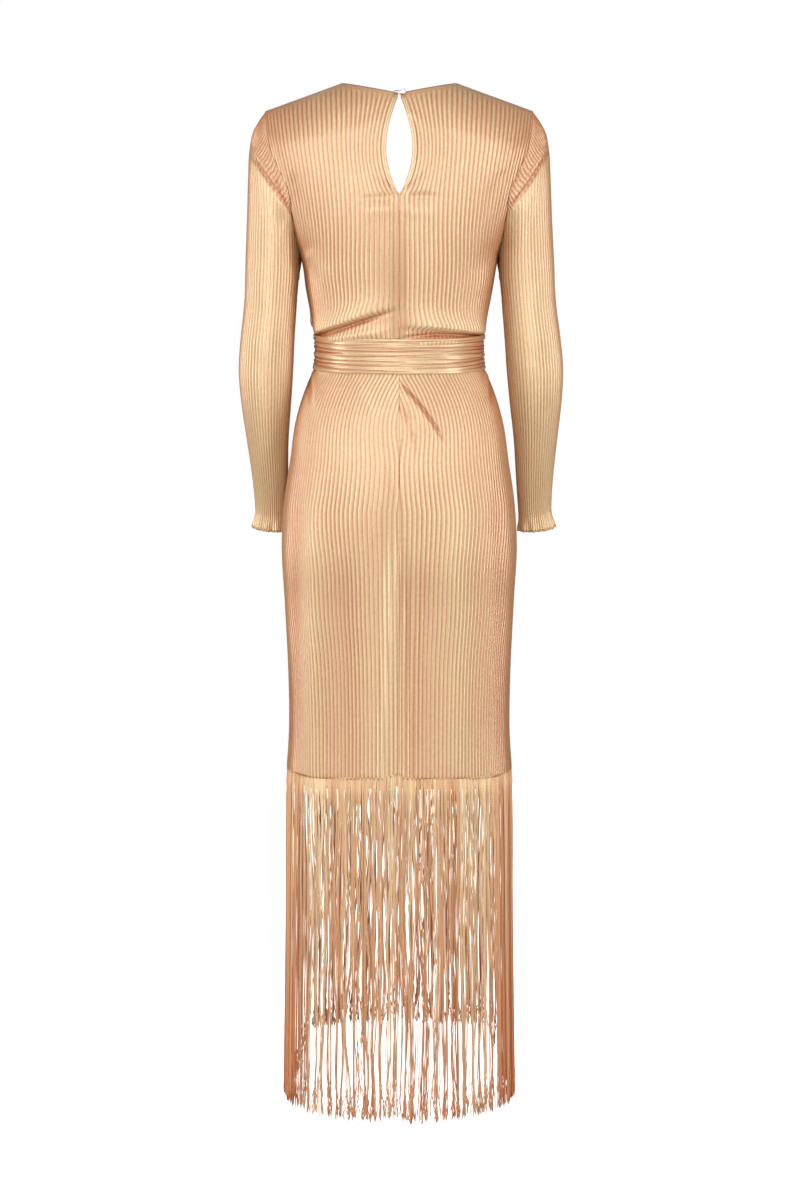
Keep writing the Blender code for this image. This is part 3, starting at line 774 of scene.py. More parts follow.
def bodice_places():
    """The bodice grid's columns: ones on each pleat, then even ones to the armhole."""
    return np.concatenate([pleat_columns(PLEATS_TO), np.linspace(PLEATS_TO, PLEATS_TO + 1, FAR_COLUMNS + 1)])


def sway(length, z, face):
    """How far the keyhole pushes the pleats aside."""
    edge = keyhole_half_width(z) if face == BACK else np.zeros_like(z)
    return edge * np.exp(-(((length - edge) / KEYHOLE_SWAY) ** 2))


def bodice_knots(z, face):
    """Lengths at which the troughs lie, and the armhole's."""
    pitch = smooth(z, BODICE_PITCH, "pitch")
    knots = []
    for count in range(PLEATS_TO + 1):
        length = count * pitch
        for _ in range(12):
            length = 0.5 * length + 0.5 * (count * pitch + sway(length, z, face))
        knots.append(length)
    return [*knots, armhole_length(z, face)]


def bodice_grid(face):
    """Lengths from the centre line and heights of half a bodice piece."""
    places = bodice_places()
    top = np.full((1, len(places)), float(SHOULDER_POINT))
    for _ in range(SETTLING_STEPS):
        length = between(bodice_knots(top, face), places)
        top = top_height(x_at(length, top), face)
    z = down_from(top, BODICE_BOTTOM, BODICE_LEVELS, face)
    return between(bodice_knots(z, face), places), z


def roll(distance, width, depth):
    """How far the cloth dips at a distance from a seam."""
    return depth * np.exp(-((distance / width) ** 2))


def with_side_shade(tone, to_side):
    """How much painted shade the cloth gets, as for a trough, with more painted shade towards the sides of
    the body.
    """
    return np.clip(tone + SIDE_SHADE * to_side**4, *TONE_RANGE)


def cloth_points(length, z, face, side, relief):
    """Half a piece of the body's cloth, as add_shell takes it: its faces, lengths, heights and the painted
    shade of its troughs and creases.
    """
    angle = side * angle_at(length, z)
    flat = body(angle, z, face)
    out, drag, shade = creases_at(flat[..., 0], z, face, CREASES)
    moved = angle_at(length + drag * side, z) * np.sign(angle + TINY)
    points, normals = body(moved, z, face), body_normal(moved, z, face)
    closed = CLOSED * shade
    height = relief["height"] * (1 - closed) + CLOSED_HEIGHT * closed
    rise = out + (height - PLEAT_LEVEL) * PLEAT_DEPTH - relief["sink"]
    within = out - INNER_DEPTH - relief["sink"] / 2
    shift = np.array((side * GAP / 2 if face == BACK else 0, face * GAP / 2, 0))
    outer = points + normals * rise[..., None] + shift
    inner = points + normals * within[..., None] + shift
    # Painted shade deepens the colour in sharp creases and hollows, and painted light makes folds that stand
    # out paler.
    tone = relief["tone"] + CREASE_SHADE * shade - FOLD_LIGHT * np.clip(out, -FOLD_LIGHT_LIMIT, FOLD_LIGHT_LIMIT)
    return outer, inner, length * side, z, with_side_shade(tone, np.sin(angle))


def centre_seam(relief, from_edge, z):
    """Presses the pleats flat beside the centre back seam, and draws its lines and dips."""
    seam = ease((KEYHOLE_BOTTOM + 8 - z) / 9)
    from_band = from_edge - SEAM_BAND
    pressed = (1 - ease((from_band + 0.8) / BAND_FADE)) * seam
    line = roll(from_edge, *CENTRE_LINE) + roll(from_band, *BAND_LINE)
    dip = roll(from_edge, *CENTRE_DIP) + roll(from_band, *BAND_DIP)
    return {
        "height": relief["height"] * (1 - pressed) + PRESSED_HEIGHT * pressed,
        "tone": relief["tone"] * (1 - pressed) + PRESSED_TONE * pressed + line * seam,
        "sink": relief["sink"] + dip * seam,
    }


def bodice_relief(length, z, face):
    """Pleats of a bodice piece, the painted shade of its troughs, and its dips at seams and edges."""
    top = z[0]
    height = pleat((length - sway(length, z, face)) / smooth(z, BODICE_PITCH, "pitch"))
    if face == BACK:
        smoothed = STRETCHED * np.exp(-((length / STRETCHED_WIDTH) ** 2))
        smoothed = smoothed * ease((STRETCHED_TOP - z) / 60) * ease((z - STRETCHED_BOTTOM) / 50)
        height = height * (1 - smoothed) + PLEAT_LEVEL * smoothed
    below_top = ease((top - z - 1) / 12)
    relief = {
        "height": height * below_top + PLEAT_LEVEL * (1 - below_top),
        "tone": (1 - height) * below_top + NECK_TONE * (1 - below_top),
        "sink": roll(armhole_length(z, face) - length, *ARMHOLE_DIP) + roll(top - z, *TOP_DIP),
    }
    if face == BACK:
        relief = centre_seam(relief, length - keyhole_half_width(z), z)
    # Painted shade in the dips, and near the top of the shoulders.
    relief["tone"] += relief["sink"] * DIP_SHADE + SHOULDER_SHADE * ease((z - top + SHOULDER_REACH) / 80)
    return relief


def bodice_half(face, side):
    """Half a bodice piece, as add_shell takes it."""
    length, z = bodice_grid(face)
    return cloth_points(length, z, face, side, bodice_relief(length, z, face))


def mirror_halves(left, right):
    """One grid across the front from its two halves."""
    return [np.concatenate([b[:, :0:-1], a], axis=1) for a, b in zip(left, right)]


def make_back_and_front(part, half, finish, widths=None):
    """The two back halves and the front of the bodice or the skirt."""
    shapes = {
        part + "_back_left": half(BACK, LEFT),
        part + "_back_right": half(BACK, RIGHT),
        part + "_front": mirror_halves(half(FRONT, LEFT), half(FRONT, RIGHT)),
    }
    for (node, shape), width in zip(shapes.items(), widths or (None, None, None)):
        in_place(add_shell(node + "_cloth", *shape, finish, width=width), node)


def make_bodice(finish):
    """The bodice, whose width as cut is that at the underarm."""
    back, front = cloth_across(BACK, UNDERARM), cloth_across(FRONT, UNDERARM)
    make_back_and_front("bodice", bodice_half, finish, (back, back, 2 * front))


# -------------------- skirt

SKIRT_TOP = WAIST - GAP / 2
SKIRT_LEVELS = ((-377, 12), (-400, 50), (-500, 20), (-600, 24), (-760, 18), (-940, 12), (HEM, 0))
SKIRT_PLEATS = (2, 31)  # pleats from the side seam whose columns the skirt's grid follows
SKIRT_EVEN_COLUMNS = (25, 30)  # even ones beside the centre line and beside the side seam
CHEVRON_END = -590  # above, pleats run out at the centre line, and below at the side seams


def hem_height(angle, face):
    """Height of the hem's edge: lowest at the side seams, and rising to the centre on the front."""
    sides = HEM - SIDE_HEM_DROP * np.sin(angle) ** 2
    rise = FRONT_HEM_RISE if face == FRONT else 0
    return sides + rise * np.cos(np.clip(1.35 * angle, -QUARTER, QUARTER)) ** 2


def hem_notch(x, face):
    """How far the hem is drawn up beside the centre back seam, and its slight waves."""
    waves = 0.9 * np.sin(x / 17.0) + 0.6 * np.sin(x / 7.3 + 1.0)
    return waves + (4.5 * np.exp(-(((x - 5) / 9) ** 2)) if face == BACK else 0)


def skirt_phase(length, z):
    """Pleats counted from the side seam, or from where it would be if none ran out at it."""
    pitch = smooth(z, SKIRT_PITCH, "pitch")
    above = np.maximum(z, CHEVRON_END)
    return quarter_length(above) / smooth(above, SKIRT_PITCH, "pitch") - length / pitch


def skirt_places():
    """The skirt grid's columns: ones on the pleats, and even ones beside the centre line and side seam."""
    near, far = (np.linspace(0, 1, count, endpoint=False) for count in SKIRT_EVEN_COLUMNS)
    followed = SKIRT_PLEATS[1] - SKIRT_PLEATS[0]
    return np.concatenate([near, 1 + pleat_columns(followed) / followed, 2 + far, [3]])


def skirt_knots(z):
    """Lengths at the centre line, at the first and last pleat that columns follow, and at the side seam."""
    first, last = SKIRT_PLEATS
    pitch = smooth(z, SKIRT_PITCH, "pitch")
    centre = skirt_phase(np.zeros_like(z), z)
    return [np.zeros_like(z), (centre - last) * pitch, (centre - first) * pitch, quarter_length(z)]


def skirt_relief(length, z, face):
    """Pleats of a skirt piece, the painted shade of its troughs, and its dips at the seams and the hem."""
    height = pleat(skirt_phase(length, z))
    at_hem = roll(z - z[-1], *HEM_DIP)
    sink = roll(quarter_length(z) - length, *SIDE_DIP) + 0.35 * at_hem
    if face == BACK:
        sink = sink + roll(length, *SKIRT_CENTRE_DIP)
    # Painted shade in the troughs and dips, and along the hem, deepest in the hem's troughs.
    tone = 1 - height + sink * DIP_SHADE + at_hem * (0.25 + 0.5 * (1 - height))
    return {"height": height, "sink": sink, "tone": tone}


def skirt_half(face, side):
    """Half a skirt piece, as add_shell takes it."""
    places = skirt_places()
    bottom = np.full((1, len(places)), float(HEM))
    for _ in range(6):
        length = between(skirt_knots(bottom), places)
        angle = length / quarter_length(bottom) * QUARTER
        bottom = hem_height(angle, face) + hem_notch(side * x_at(length, bottom), face)
    z = down_from(SKIRT_TOP, bottom, SKIRT_LEVELS, face)
    length = between(skirt_knots(z), places)
    return cloth_points(length, z, face, side, skirt_relief(length, z, face))


# -------------------- sleeves

SLEEVE_LEVELS = ((0, 66), (0.2, 14), (0.5, 10), (0.7, 8), (0.94, 8), (1, 0))
CUFF_WAVES = 11  # of the cuff's wavy edge
CUFF_WAVE, CUFF_RIPPLE = 1.6, 0.8  # outward, and up and down
CUFF_FLARE = 0.045  # the last share of the sleeve's length, over which the cuff flares
CUFF_EDGE_RADIUS = 0.85
CAP_PLEAT_HEIGHT, FLARED_PLEAT_RISE = 0.8, 0.35
SLEEVE_GIRTH = 272.0  # at the underarm
SLEEVE_PLEATS = 0.85  # how deep they are beside the body's
UNDER_CAP = -250.0  # height of the section on which the pleats under the cap are counted


def sleeve_section(around, z):
    """Points of the left sleeve's level sections; around is 0 on the inner side and grows to the back."""
    outer, inner = smooth(z, SLEEVE, "outer"), smooth(z, SLEEVE, "inner")
    x = (outer + inner) / 2 - (outer - inner) / 2 * np.cos(around)
    y = smooth(z, SLEEVE, "middle") + smooth(z, SLEEVE, "half_depth") * np.sin(around)
    return np.stack(np.broadcast_arrays(x, y, z), axis=-1)


def armhole_point(around):
    """The armhole seam as the sleeve's columns meet it, from the underarm over the shoulder and back."""
    z = UNDERARM + (SHOULDER_POINT - UNDERARM) * (1 - np.cos(around)) / 2
    on_back, on_front = (body(angle_at(armhole_length(z, face), z), z, face) for face in (BACK, FRONT))
    return np.where((np.sin(around) >= 0)[..., None], on_back, on_front)


def sleeve(around, down):
    """Points of the left sleeve's outer face; down is 0 at the armhole and 1 at the cuff."""
    seam = armhole_point(around)
    z = seam[..., 2] + (CUFF - CUFF_TILT * np.cos(around) - seam[..., 2]) * down
    f = 1 - (seam[..., 2] - z) / CAP_BLEND
    pull = (seam - sleeve_section(around, seam[..., 2])) * ease(f)[..., None]
    return sleeve_section(around, z) + pull


def sleeve_normal(around, down):
    """Outward directions of the left sleeve's surface, turned to the shoulder's at the top of the cap."""
    e = 0.004
    round_it = sleeve(around + e, down) - sleeve(around - e, down)
    along = sleeve(around, np.minimum(down + e, 1)) - sleeve(around, np.maximum(down - e, 0))
    normal = across(round_it, along)
    over = ((1 - np.cos(around)) / 2) ** 3 * np.clip(1 - down / 0.03, 0, 1)
    slope = np.array((SHOULDER_SLOPE, 0, 1)) / math.hypot(SHOULDER_SLOPE, 1)
    normal = normal * (1 - over)[..., None] + slope * over[..., None]
    return normal / np.linalg.norm(normal, axis=-1, keepdims=True)


# The line on each sleeve where the cap folds over: its ends (x, z) on the back and on the front.
CAP_FOLDS = {BACK: ((206, -90), (147, -190)), FRONT: ((206, -96), (147, -182))}
CAP_REACH = 75  # the cap ends at the latest this far below the armhole


def on_cap(around, base, below_armhole):
    """1 above the line where the cap folds over, and 0 below it."""
    on_back = np.sin(around) >= 0
    above = np.zeros_like(around)
    for face, ((x0, z0), (x1, z1)) in CAP_FOLDS.items():
        line = z0 + (base[..., 0] - x0) * (z1 - z0) / (x1 - x0)
        above = np.where(on_back == (face == BACK), base[..., 2] - line, above)
    return ease((above + 2) / 8) * ease((CAP_REACH - below_armhole) / 30)


def pleats_below_cap(around, base, below_armhole):
    """Pleats counted round the sleeve, and straight down near the cap, where the columns still lean."""
    outer, inner = (smooth(np.array(UNDER_CAP), SLEEVE, edge) for edge in ("outer", "inner"))
    inward = ((outer + inner) / 2 - base[..., 0]) / ((outer - inner) / 2)
    upright = np.arccos(np.clip(inward, -1, 1))
    counted = np.where(np.sin(around) >= 0, around, 2 * math.pi - around)
    blend = ease((CAP_REACH - below_armhole) / 45)
    return (counted * (1 - blend) + upright * blend) * CAP_PLEATS / (4 * math.pi)


def sleeve_folds(around, place, side):
    """How far the creases move the sleeve's cloth out, and how deep in one it lies."""
    out, shade = np.zeros(around.shape), np.zeros(around.shape)
    for face in (BACK, FRONT):
        on_face = np.sin(around) * face > 0
        moved, _, closed = creases_at(place[..., 0], place[..., 2], face, SLEEVE_CREASES[side])
        out = out + np.where(on_face, moved * np.abs(np.sin(around)) ** 0.4, 0)
        shade = shade + np.where(on_face, closed, 0)
    return out, shade


def sleeve_shape(side):
    """The sleeve's outer and inner points, and the values that its material reads."""
    columns = pleat_columns(CAP_PLEATS)
    around, down = np.meshgrid(columns * 2 * math.pi / CAP_PLEATS, levels(SLEEVE_LEVELS))
    base, normals = sleeve(around, down), sleeve_normal(around, down)
    below_armhole = base[:1, :, 2] - base[..., 2]
    cap = on_cap(around, base, below_armhole)
    below = pleat(pleats_below_cap(around, base, below_armhole))
    base = base + (GAP * 0.3, 0, 0)
    swing = np.stack([ARM_SWING * down**2, np.zeros_like(down), np.zeros_like(down)], axis=-1)
    out, shade = sleeve_folds(around, base * (side, 1, 1) - swing, side)
    flare = ease((down - (1 - CUFF_FLARE)) / CUFF_FLARE)
    height = below * (1 - cap) + CAP_PLEAT_HEIGHT * pleat(columns) * cap
    height = height * (1 + FLARED_PLEAT_RISE * flare)
    wave = CUFF_WAVE * flare * np.sin(CUFF_WAVES * around + side)
    sink = roll(down * (SHOULDER_POINT - CUFF), *ARMHOLE_DIP)
    rise = out + (height - PLEAT_LEVEL) * PLEAT_DEPTH * SLEEVE_PLEATS - sink + wave
    outer = base + normals * rise[..., None]
    inner = base + normals * (out - INNER_DEPTH + wave - sink / 2)[..., None]
    outer[..., 2] += CUFF_RIPPLE * flare * np.sin(CUFF_WAVES * around * 2)
    # Painted shade in the troughs, the armhole's dip, the creases and on the cap, and painted light that
    # makes the sleeve paler further down; more painted shade goes on at its inner and outer sides.
    tone = 0.85 * (1 - height) - 0.1 - 0.14 * down + sink * 0.4 + 0.9 * shade + 0.2 * cap
    lengths = around / (2 * math.pi) * SLEEVE_GIRTH
    mirror = np.array((side, 1, 1))
    return outer * mirror - swing, inner * mirror - swing, lengths, base[..., 2], with_side_shade(tone, np.cos(around))


def make_sleeves(finish, edging):
    """Both sleeves, each with the overlocked edge of its cuff."""
    for side, name in ((LEFT, "sleeve_left"), (RIGHT, "sleeve_right")):
        shape = sleeve_shape(side)
        piece = add_shell(name + "_cloth", *shape, finish, closed=True, width=SLEEVE_GIRTH)
        in_place(piece, name)
        outer, inner = (np.concatenate([grid[-1], grid[-1][:1]])[None, ::3] for grid in shape[:2])
        rim = (outer + inner) / 2 - (0, 0, 0.3)
        points, faces = tubes(rim, np.full(rim.shape[:2], CUFF_EDGE_RADIUS), 8, outer - inner, closed=True)
        in_place(add_mesh(name.replace("sleeve", "cuff_edge"), points, faces, edging))


# -------------------- waist sash

# The sash's pleats, as grooves on the back from one turn to another (degrees from the centre back, growing to
# the wearer's left), at shares of the way down there. The front has the same ones, turned half way round.
SASH_GROOVES = [
    # from, to, level at each, depth, width
    (108, 8, 0.22, 0.17, 1.5, 0.9),
    (112, -20, 0.33, 0.36, 1.7, 1.0),
    (108, 35, 0.46, 0.43, 1.9, 1.1),
    (52, -30, 0.53, 0.46, 1.3, 0.9),
    (115, -5, 0.60, 0.66, 1.7, 1.0),
    (104, 10, 0.71, 0.78, 1.8, 1.1),
    (110, -10, 0.82, 0.92, 1.6, 0.9),
    (24, -62, 0.10, 0.08, 1.1, 0.8),
    (-5, -112, 0.14, 0.20, 1.6, 0.9),
    (-12, -106, 0.27, 0.31, 1.4, 0.9),
    (-25, -115, 0.38, 0.36, 1.7, 1.0),
    (-30, -104, 0.46, 0.50, 1.5, 1.0),
    (-18, -75, 0.60, 0.63, 1.3, 0.9),
    (0, -112, 0.72, 0.68, 1.8, 1.1),
    (-8, -108, 0.84, 0.80, 1.6, 0.9),
    (-40, -114, 0.90, 0.91, 1.3, 0.9),
]
SASH_FINE_LINES = 44
SASH_CLEARANCE = 1.8
SASH_FULL, SASH_LEAST = 2.0, 0.35  # how far the sash stands out from its own inner face
SASH_WALL = 1.2
DEEPEST_GROOVE = 2.3
SASH_COLUMNS = 290
SASH_ROWS = 104


def fine_lines(turns, level):
    """Thin shallow lines all round the sash, each over a part of a turn and slightly aslant."""
    chance = np.random.default_rng(5)
    depth = np.zeros(np.broadcast_shapes(turns.shape, level.shape))
    for _ in range(SASH_FINE_LINES):
        middle, reach = chance.uniform(-180, 180), chance.uniform(35, 80)
        place, slope, deep = chance.uniform(0.04, 0.96), chance.normal(0, 0.05), chance.uniform(0.3, 0.8)
        along = ((turns - middle + 180) % 360 - 180) / reach
        distance = (level - place - slope * along) * 2 * SASH_HALF
        depth = depth + deep * (1 - ease(np.abs(along))) * np.exp(-((distance / 0.6) ** 2))
    return depth


def sash_relief(turns, level):
    """How deep the sash's grooves are at each turn and level."""
    depth = fine_lines(turns, level)
    bunched = 1 + 0.7 * np.abs(np.sin(np.radians(turns))) ** 6
    for half_way in (0, 180):
        here = (turns + half_way + 180) % 360 - 180
        for start, end, first, last, deep, width in SASH_GROOVES:
            along = np.clip((here - start) / (end - start), 0, 1)
            middle = first + (last - first) * along + 0.010 * np.sin(7 * along + 9 * first)
            if half_way:
                middle = 1 - middle
            distance = (level - middle) * 2 * SASH_HALF
            strength = np.sin(math.pi * along) ** 0.35 * bunched
            depth = depth + 0.85 * deep * strength * np.exp(-((distance / width / 0.9) ** 2))
    return depth


def make_sash(finish):
    """The gathered sash, all round the waist."""
    turns = np.linspace(-180, 180, SASH_COLUMNS, endpoint=False)
    round_it = np.radians(turns)
    level = np.linspace(0, 1, SASH_ROWS)[:, None]
    face = np.where(np.abs(turns) <= 90, BACK, FRONT)
    angle = np.radians(np.where(face == BACK, turns, np.sign(turns) * 180 - turns))
    grooves = sash_relief(turns, level)
    soft = 0.45 * np.sin(2 * math.pi * (level * 4.3 + 0.35 * np.sin(2 * round_it + math.radians(40))))
    fine = 0.13 * np.sin(2 * math.pi * (level * 21 + 0.5 * np.sin(3 * round_it)))
    edge = np.sqrt(np.clip(np.minimum(level, 1 - level) * 2 * SASH_HALF / 2.2, 0, 1))
    out = (SASH_FULL + soft + fine) * (0.3 + 0.7 * edge) - np.minimum(grooves, DEEPEST_GROOVE) * edge
    z = SASH_MIDDLE + SASH_HALF * (1 - 2 * level) + np.zeros_like(turns)
    base, normals = body(angle, z, face), body_normal(angle, z, face) * (1, 1, 0)
    normals = normals / np.linalg.norm(normals, axis=-1, keepdims=True)
    outer = base + normals * (SASH_CLEARANCE + np.maximum(out, SASH_LEAST))[..., None]
    inner = base + normals * (SASH_CLEARANCE - SASH_WALL)
    girth = 4 * quarter_length(np.array(SASH_MIDDLE))
    along = np.broadcast_to(turns / 360 * girth, z.shape)
    # Painted shade: deeper towards the sash's sides and in its grooves.
    trough = np.clip(0.05 + 0.3 * np.sin(round_it) ** 4 + grooves * 0.5, 0, 1)
    # On the sash the knit's wales run round the waist.
    piece = add_shell("waist_sash_cloth", outer, inner, z, along, trough, finish, closed=True)
    in_place(piece, "waist_sash")


# -------------------- fringe

STRING_PITCH = {BACK: 0.95, FRONT: 1.15}
STRING_RADIUS = 0.6
STRING_SIDES = 4
TAPE_COLUMNS = 385
STRING_LEVELS = ((0, 16), (0.84, 8), (1, 0))
CLUMP_PITCH = 10.5
LOCK_PITCH = 3.6  # a few strings that hang together
DENSE_FROM = 0.62  # beyond this share of the way to the side seams the strings hang close together
DENSE_SHADE = 0.22  # and get painted shade, deeper in colour
BACK_MIDDLE_LENGTH = 12  # how much longer the back's strings are in the middle
FRONT_ENDS = -1424  # height at which the front's strings end, up to near the side seams
CUT_SHORT, SHORTER_BY = 0.12, 22  # the share of strings that are cut shorter, and by how much at most
LOOSE = 0.16  # the share of strings that keep out of the clumps
FRINGE_MIDDLE = -1200.0  # the height at which the strings are counted
TAPE_BACK = CLOTH + 1.5 * GAP  # how far the tape lies behind the cloth's face
TAPE_WALL = 1.4


def wander(chance, members, count, size, turns, t):
    """Slow sideways waves that the members of a group share."""
    size = chance.normal(0, size, count)[members]
    turns = chance.uniform(*turns, count)[members]
    start = chance.uniform(0, 1, count)[members]
    return size[:, None] * np.sin(2 * math.pi * (turns[:, None] * t + start[:, None]))


def string_lengths(face, share, chance):
    """How long each string is: those of the front end on one level, except near the side seams."""
    count = len(share)
    angle = share * QUARTER
    if face == BACK:
        length = FRINGE_LENGTH + BACK_MIDDLE_LENGTH * np.cos(angle) ** 2
    else:
        length = hem_height(angle, FRONT) - FRONT_ENDS
        length = length + (FRINGE_LENGTH - length) * ease((np.abs(share) - 0.60) / 0.16)
    uneven = np.abs(chance.normal(0, 6, count))
    return length - uneven - (chance.random(count) < CUT_SHORT) * chance.random(count) * SHORTER_BY


def fold_at_hem(length, face):
    """How far the skirt's folds move the hem out at a length from the centre line."""
    z = np.full(np.shape(length), HEM + 2.0)
    x = np.sign(length) * x_at(np.abs(length), z)
    return creases_at(x, z, face, CREASES)[0]


def sewn_strings(chance, face, seam):
    """Where each string is sewn, its clump and lock, the clumps' middles, and how freely it hangs."""
    count = int(2 * seam / STRING_PITCH[face])
    root = np.linspace(-seam, seam, count) + chance.normal(0, 0.2, count)
    middles = np.arange(-seam, seam, CLUMP_PITCH)
    middles = np.sort(middles + chance.normal(0, 2.6, len(middles)))
    clump = np.abs(root[:, None] - middles).argmin(axis=1)
    lock = ((root + seam + chance.normal(0, 0.5, count)) / LOCK_PITCH).astype(int).clip(0)
    free = (1 - ease((np.abs(root / seam) - DENSE_FROM) / 0.1))[:, None]
    return root, clump, lock, middles, free


def gathered(chance, strings, t, seam):
    """Where the strings hang, sideways: they wander, clump lower down, and fray and curl at their ends."""
    root, clump, lock, middles, free = strings
    count, every = len(root), np.arange(len(root))
    loose = chance.random(count) < LOOSE
    gather = np.where(loose, chance.uniform(-0.4, 0.3, count), chance.normal(0.68, 0.1, count))
    start = chance.uniform(0.3, 0.55, len(middles))[clump] + chance.uniform(0, 0.1, count)
    pull = ease((t - start[:, None]) / 0.4) * gather[:, None] * (0.25 + 0.75 * free)
    waves = wander(chance, clump, len(middles), 1.3, (0.8, 2.0), t)
    waves = (waves + wander(chance, lock, lock.max() + 1, 1.3, (1.8, 4.2), t)) * free
    waves = waves + wander(chance, every, count, 0.2, (3, 8), t)
    fray = chance.normal(0, 2.8, count)[:, None] * ease((t - 0.9) / 0.1)
    curl = wander(chance, every, count, 0.9, (18, 30), t) * ease((t - 0.86) / 0.08)
    sideways = root[:, None] + (middles[clump] - root)[:, None] * pull + waves * ease(t / 0.1) + fray + curl
    return np.clip(sideways, -seam + 0.3, seam - 0.3) / seam


def fringe_strings(face, name, seed, finish):
    """The strings of one face's fringe, sewn close together along the hem."""
    chance = np.random.default_rng(seed)
    seam = float(quarter_length(np.array(FRINGE_MIDDLE)))
    strings = sewn_strings(chance, face, seam)
    root, clump, lock, middles, free = strings
    count, locks = len(root), lock.max() + 1
    t = levels(STRING_LEVELS)[None]
    length = string_lengths(face, root / seam, chance)
    share = gathered(chance, strings, t, seam)
    drop = t * (length[:, None] + 2) - 2
    z = (hem_height(root / seam * QUARTER, face) + hem_notch(root * 0.7, face))[:, None] - drop
    angle = angle_at(share * quarter_length(z), z)
    depth = 0.5 + chance.uniform(0, 3.6, locks)[lock][:, None] * ease(t / 0.12)
    depth = depth + chance.normal(0, 0.6, count)[:, None] * ease(t / 0.05)
    normals = body_normal(angle, z, face)
    fold = fold_at_hem(root, face)[:, None] * (1 - ease(t / 0.4))
    line = body(angle, z, face) + (0, face * GAP / 2, 0)
    line = line + normals * (fold - np.clip(depth, 0.4, 5.0) + 0.2)[..., None]
    radius = STRING_RADIUS * chance.uniform(0.85, 1.1, count)[:, None] * np.ones_like(t)
    radius[:, -4] *= chance.uniform(0.8, 1.7, count)
    radius[:, -2] *= chance.uniform(0.8, 2.0, count)
    radius[:, -1] *= 0.4
    points, faces = tubes(line, radius, STRING_SIDES, normals)
    shade = 0.2 * chance.random(len(middles))[clump] + 0.5 * chance.random(locks)[lock]
    shade = (shade + 0.3 * chance.random(count))[:, None]
    # Random tone for each clump, lock and string, and painted shade: deeper towards the tips and where the
    # strings hang close.
    tone = 0.8 * shade + 0.4 * (t - 0.35) + DENSE_SHADE * (1 - free)
    turn = np.arange(STRING_SIDES) * 2 * math.pi / STRING_SIDES
    weave = np.stack(np.broadcast_arrays(turn, drop[..., None], root[:, None, None]), axis=-1)
    values = {"weave": weave.reshape(-1, 3), "tone": np.repeat(tone, STRING_SIDES)}
    in_place(add_mesh(name + "_strings", points, faces, finish, None, values), name)


def fringe_tape(face, name, finish):
    """The tape that the strings are sewn to, ribbed by their tops."""
    columns = np.linspace(-1, 1, TAPE_COLUMNS + 1)
    drops = np.array((-HEADING_LAP + 0.5, -4, 0, 4, 8, 11, HEADING_DROP - 0.5))
    edge = hem_height(columns * QUARTER, face)
    z = edge - drops[:, None]
    length = columns * quarter_length(z)
    angle = angle_at(length, z)
    z = z + hem_notch(x_at(length, z), face)
    points, normals = body(angle, z, face) + (0, face * GAP / 2, 0), body_normal(angle, z, face)
    behind = fold_at_hem(length, face) - TAPE_BACK
    ribs = 0.35 * np.abs(np.sin(math.pi * length / LOCK_PITCH))
    outer = points + normals * (behind + ribs * (drops > 0)[:, None])[..., None]
    inner = points + normals * (behind - TAPE_WALL)[..., None]
    # The tape is deep in colour, with a painted highlight on the ribs that the strings' tops make.
    piece = add_shell(name + "_tape", outer, inner, length, z, 0.85 - 1.8 * ribs, finish)
    in_place(piece, name)


# -------------------- keyhole, button and stitches


def spot(x, z, face=BACK):
    """A point of the body's outer face at a distance x from the centre line, and its outward direction."""
    angle = angle_at(length_at_x(abs(x), np.array(float(z))), z) * math.copysign(1, x)
    return body(angle, z, face), body_normal(angle, z, face)


def make_keyhole_edges(finish):
    """The narrow strips along the keyhole: rounded, and rolled over at the opening."""
    z = np.linspace(KEYHOLE_EDGE_TOP, KEYHOLE_BOTTOM, 61)[:, None]
    f = np.linspace(0, 1, 2 * STEPS + 1)
    width = KEYHOLE_EDGE * (0.3 + 0.7 * ease((z - KEYHOLE_BOTTOM) / 20))
    length = keyhole_half_width(z) + f * width
    ribs = np.abs(np.sin(2 * math.pi * f)) ** 0.7
    rise = GAP + 0.35 + 0.9 * ribs * np.ones_like(z)
    for side, name in ((LEFT, "keyhole_edge_left"), (RIGHT, "keyhole_edge_right")):
        angle = side * angle_at(length, z)
        heights = np.broadcast_to(z, length.shape)
        points = body(angle, heights, BACK) + (side * GAP / 2, GAP / 2, 0)
        normals = body_normal(angle, heights, BACK)
        outer, inner = points + normals * rise[..., None], points + normals * GAP
        # Painted highlight on the strips' ribs, which are paler than the grooves between them.
        trough = np.broadcast_to(0.4 - 0.5 * ribs, length.shape)
        piece = add_shell(name + "_strip", outer, inner, length * side, heights, trough, finish)
        in_place(piece, name)


def make_button(finish):
    """A domed pearl button on its shank, turned round its axis."""
    profile = [
        (0.0, 0.4), (1.1, 0.4), (1.1, 2.4), (3.1, 2.45), (3.8, 2.7), (4.15, 3.1), (4.2, 3.5), (4.0, 4.0),
        (3.5, 4.6), (2.8, 5.15), (1.9, 5.6), (0.95, 5.83), (0.0, 5.9),
    ]
    build = bmesh.new()
    verts = [build.verts.new((radius * MM, 0, out * MM)) for radius, out in profile]
    edges = [build.edges.new(pair) for pair in zip(verts, verts[1:])]
    bmesh.ops.spin(build, geom=verts + edges, axis=(0, 0, 1), cent=(0, 0, 0), steps=40, angle=2 * math.pi)
    bmesh.ops.remove_doubles(build, verts=build.verts, dist=0.02 * MM)
    bmesh.ops.recalc_face_normals(build, faces=build.faces)
    mesh = bpy.data.meshes.new("keyhole_button_pearl")
    build.to_mesh(mesh)
    build.free()
    mesh.materials.append(finish)
    mesh.shade_smooth()
    mesh.set_sharp_from_angle(angle=math.radians(60))
    button = add_object("keyhole_button_pearl", mesh)
    point, outward = spot(*BUTTON_PLACE)
    button.location = Vector(point) * MM
    button.rotation_euler = Vector(outward).to_track_quat("Z", "Y").to_euler()
    in_place(button, "keyhole_button")


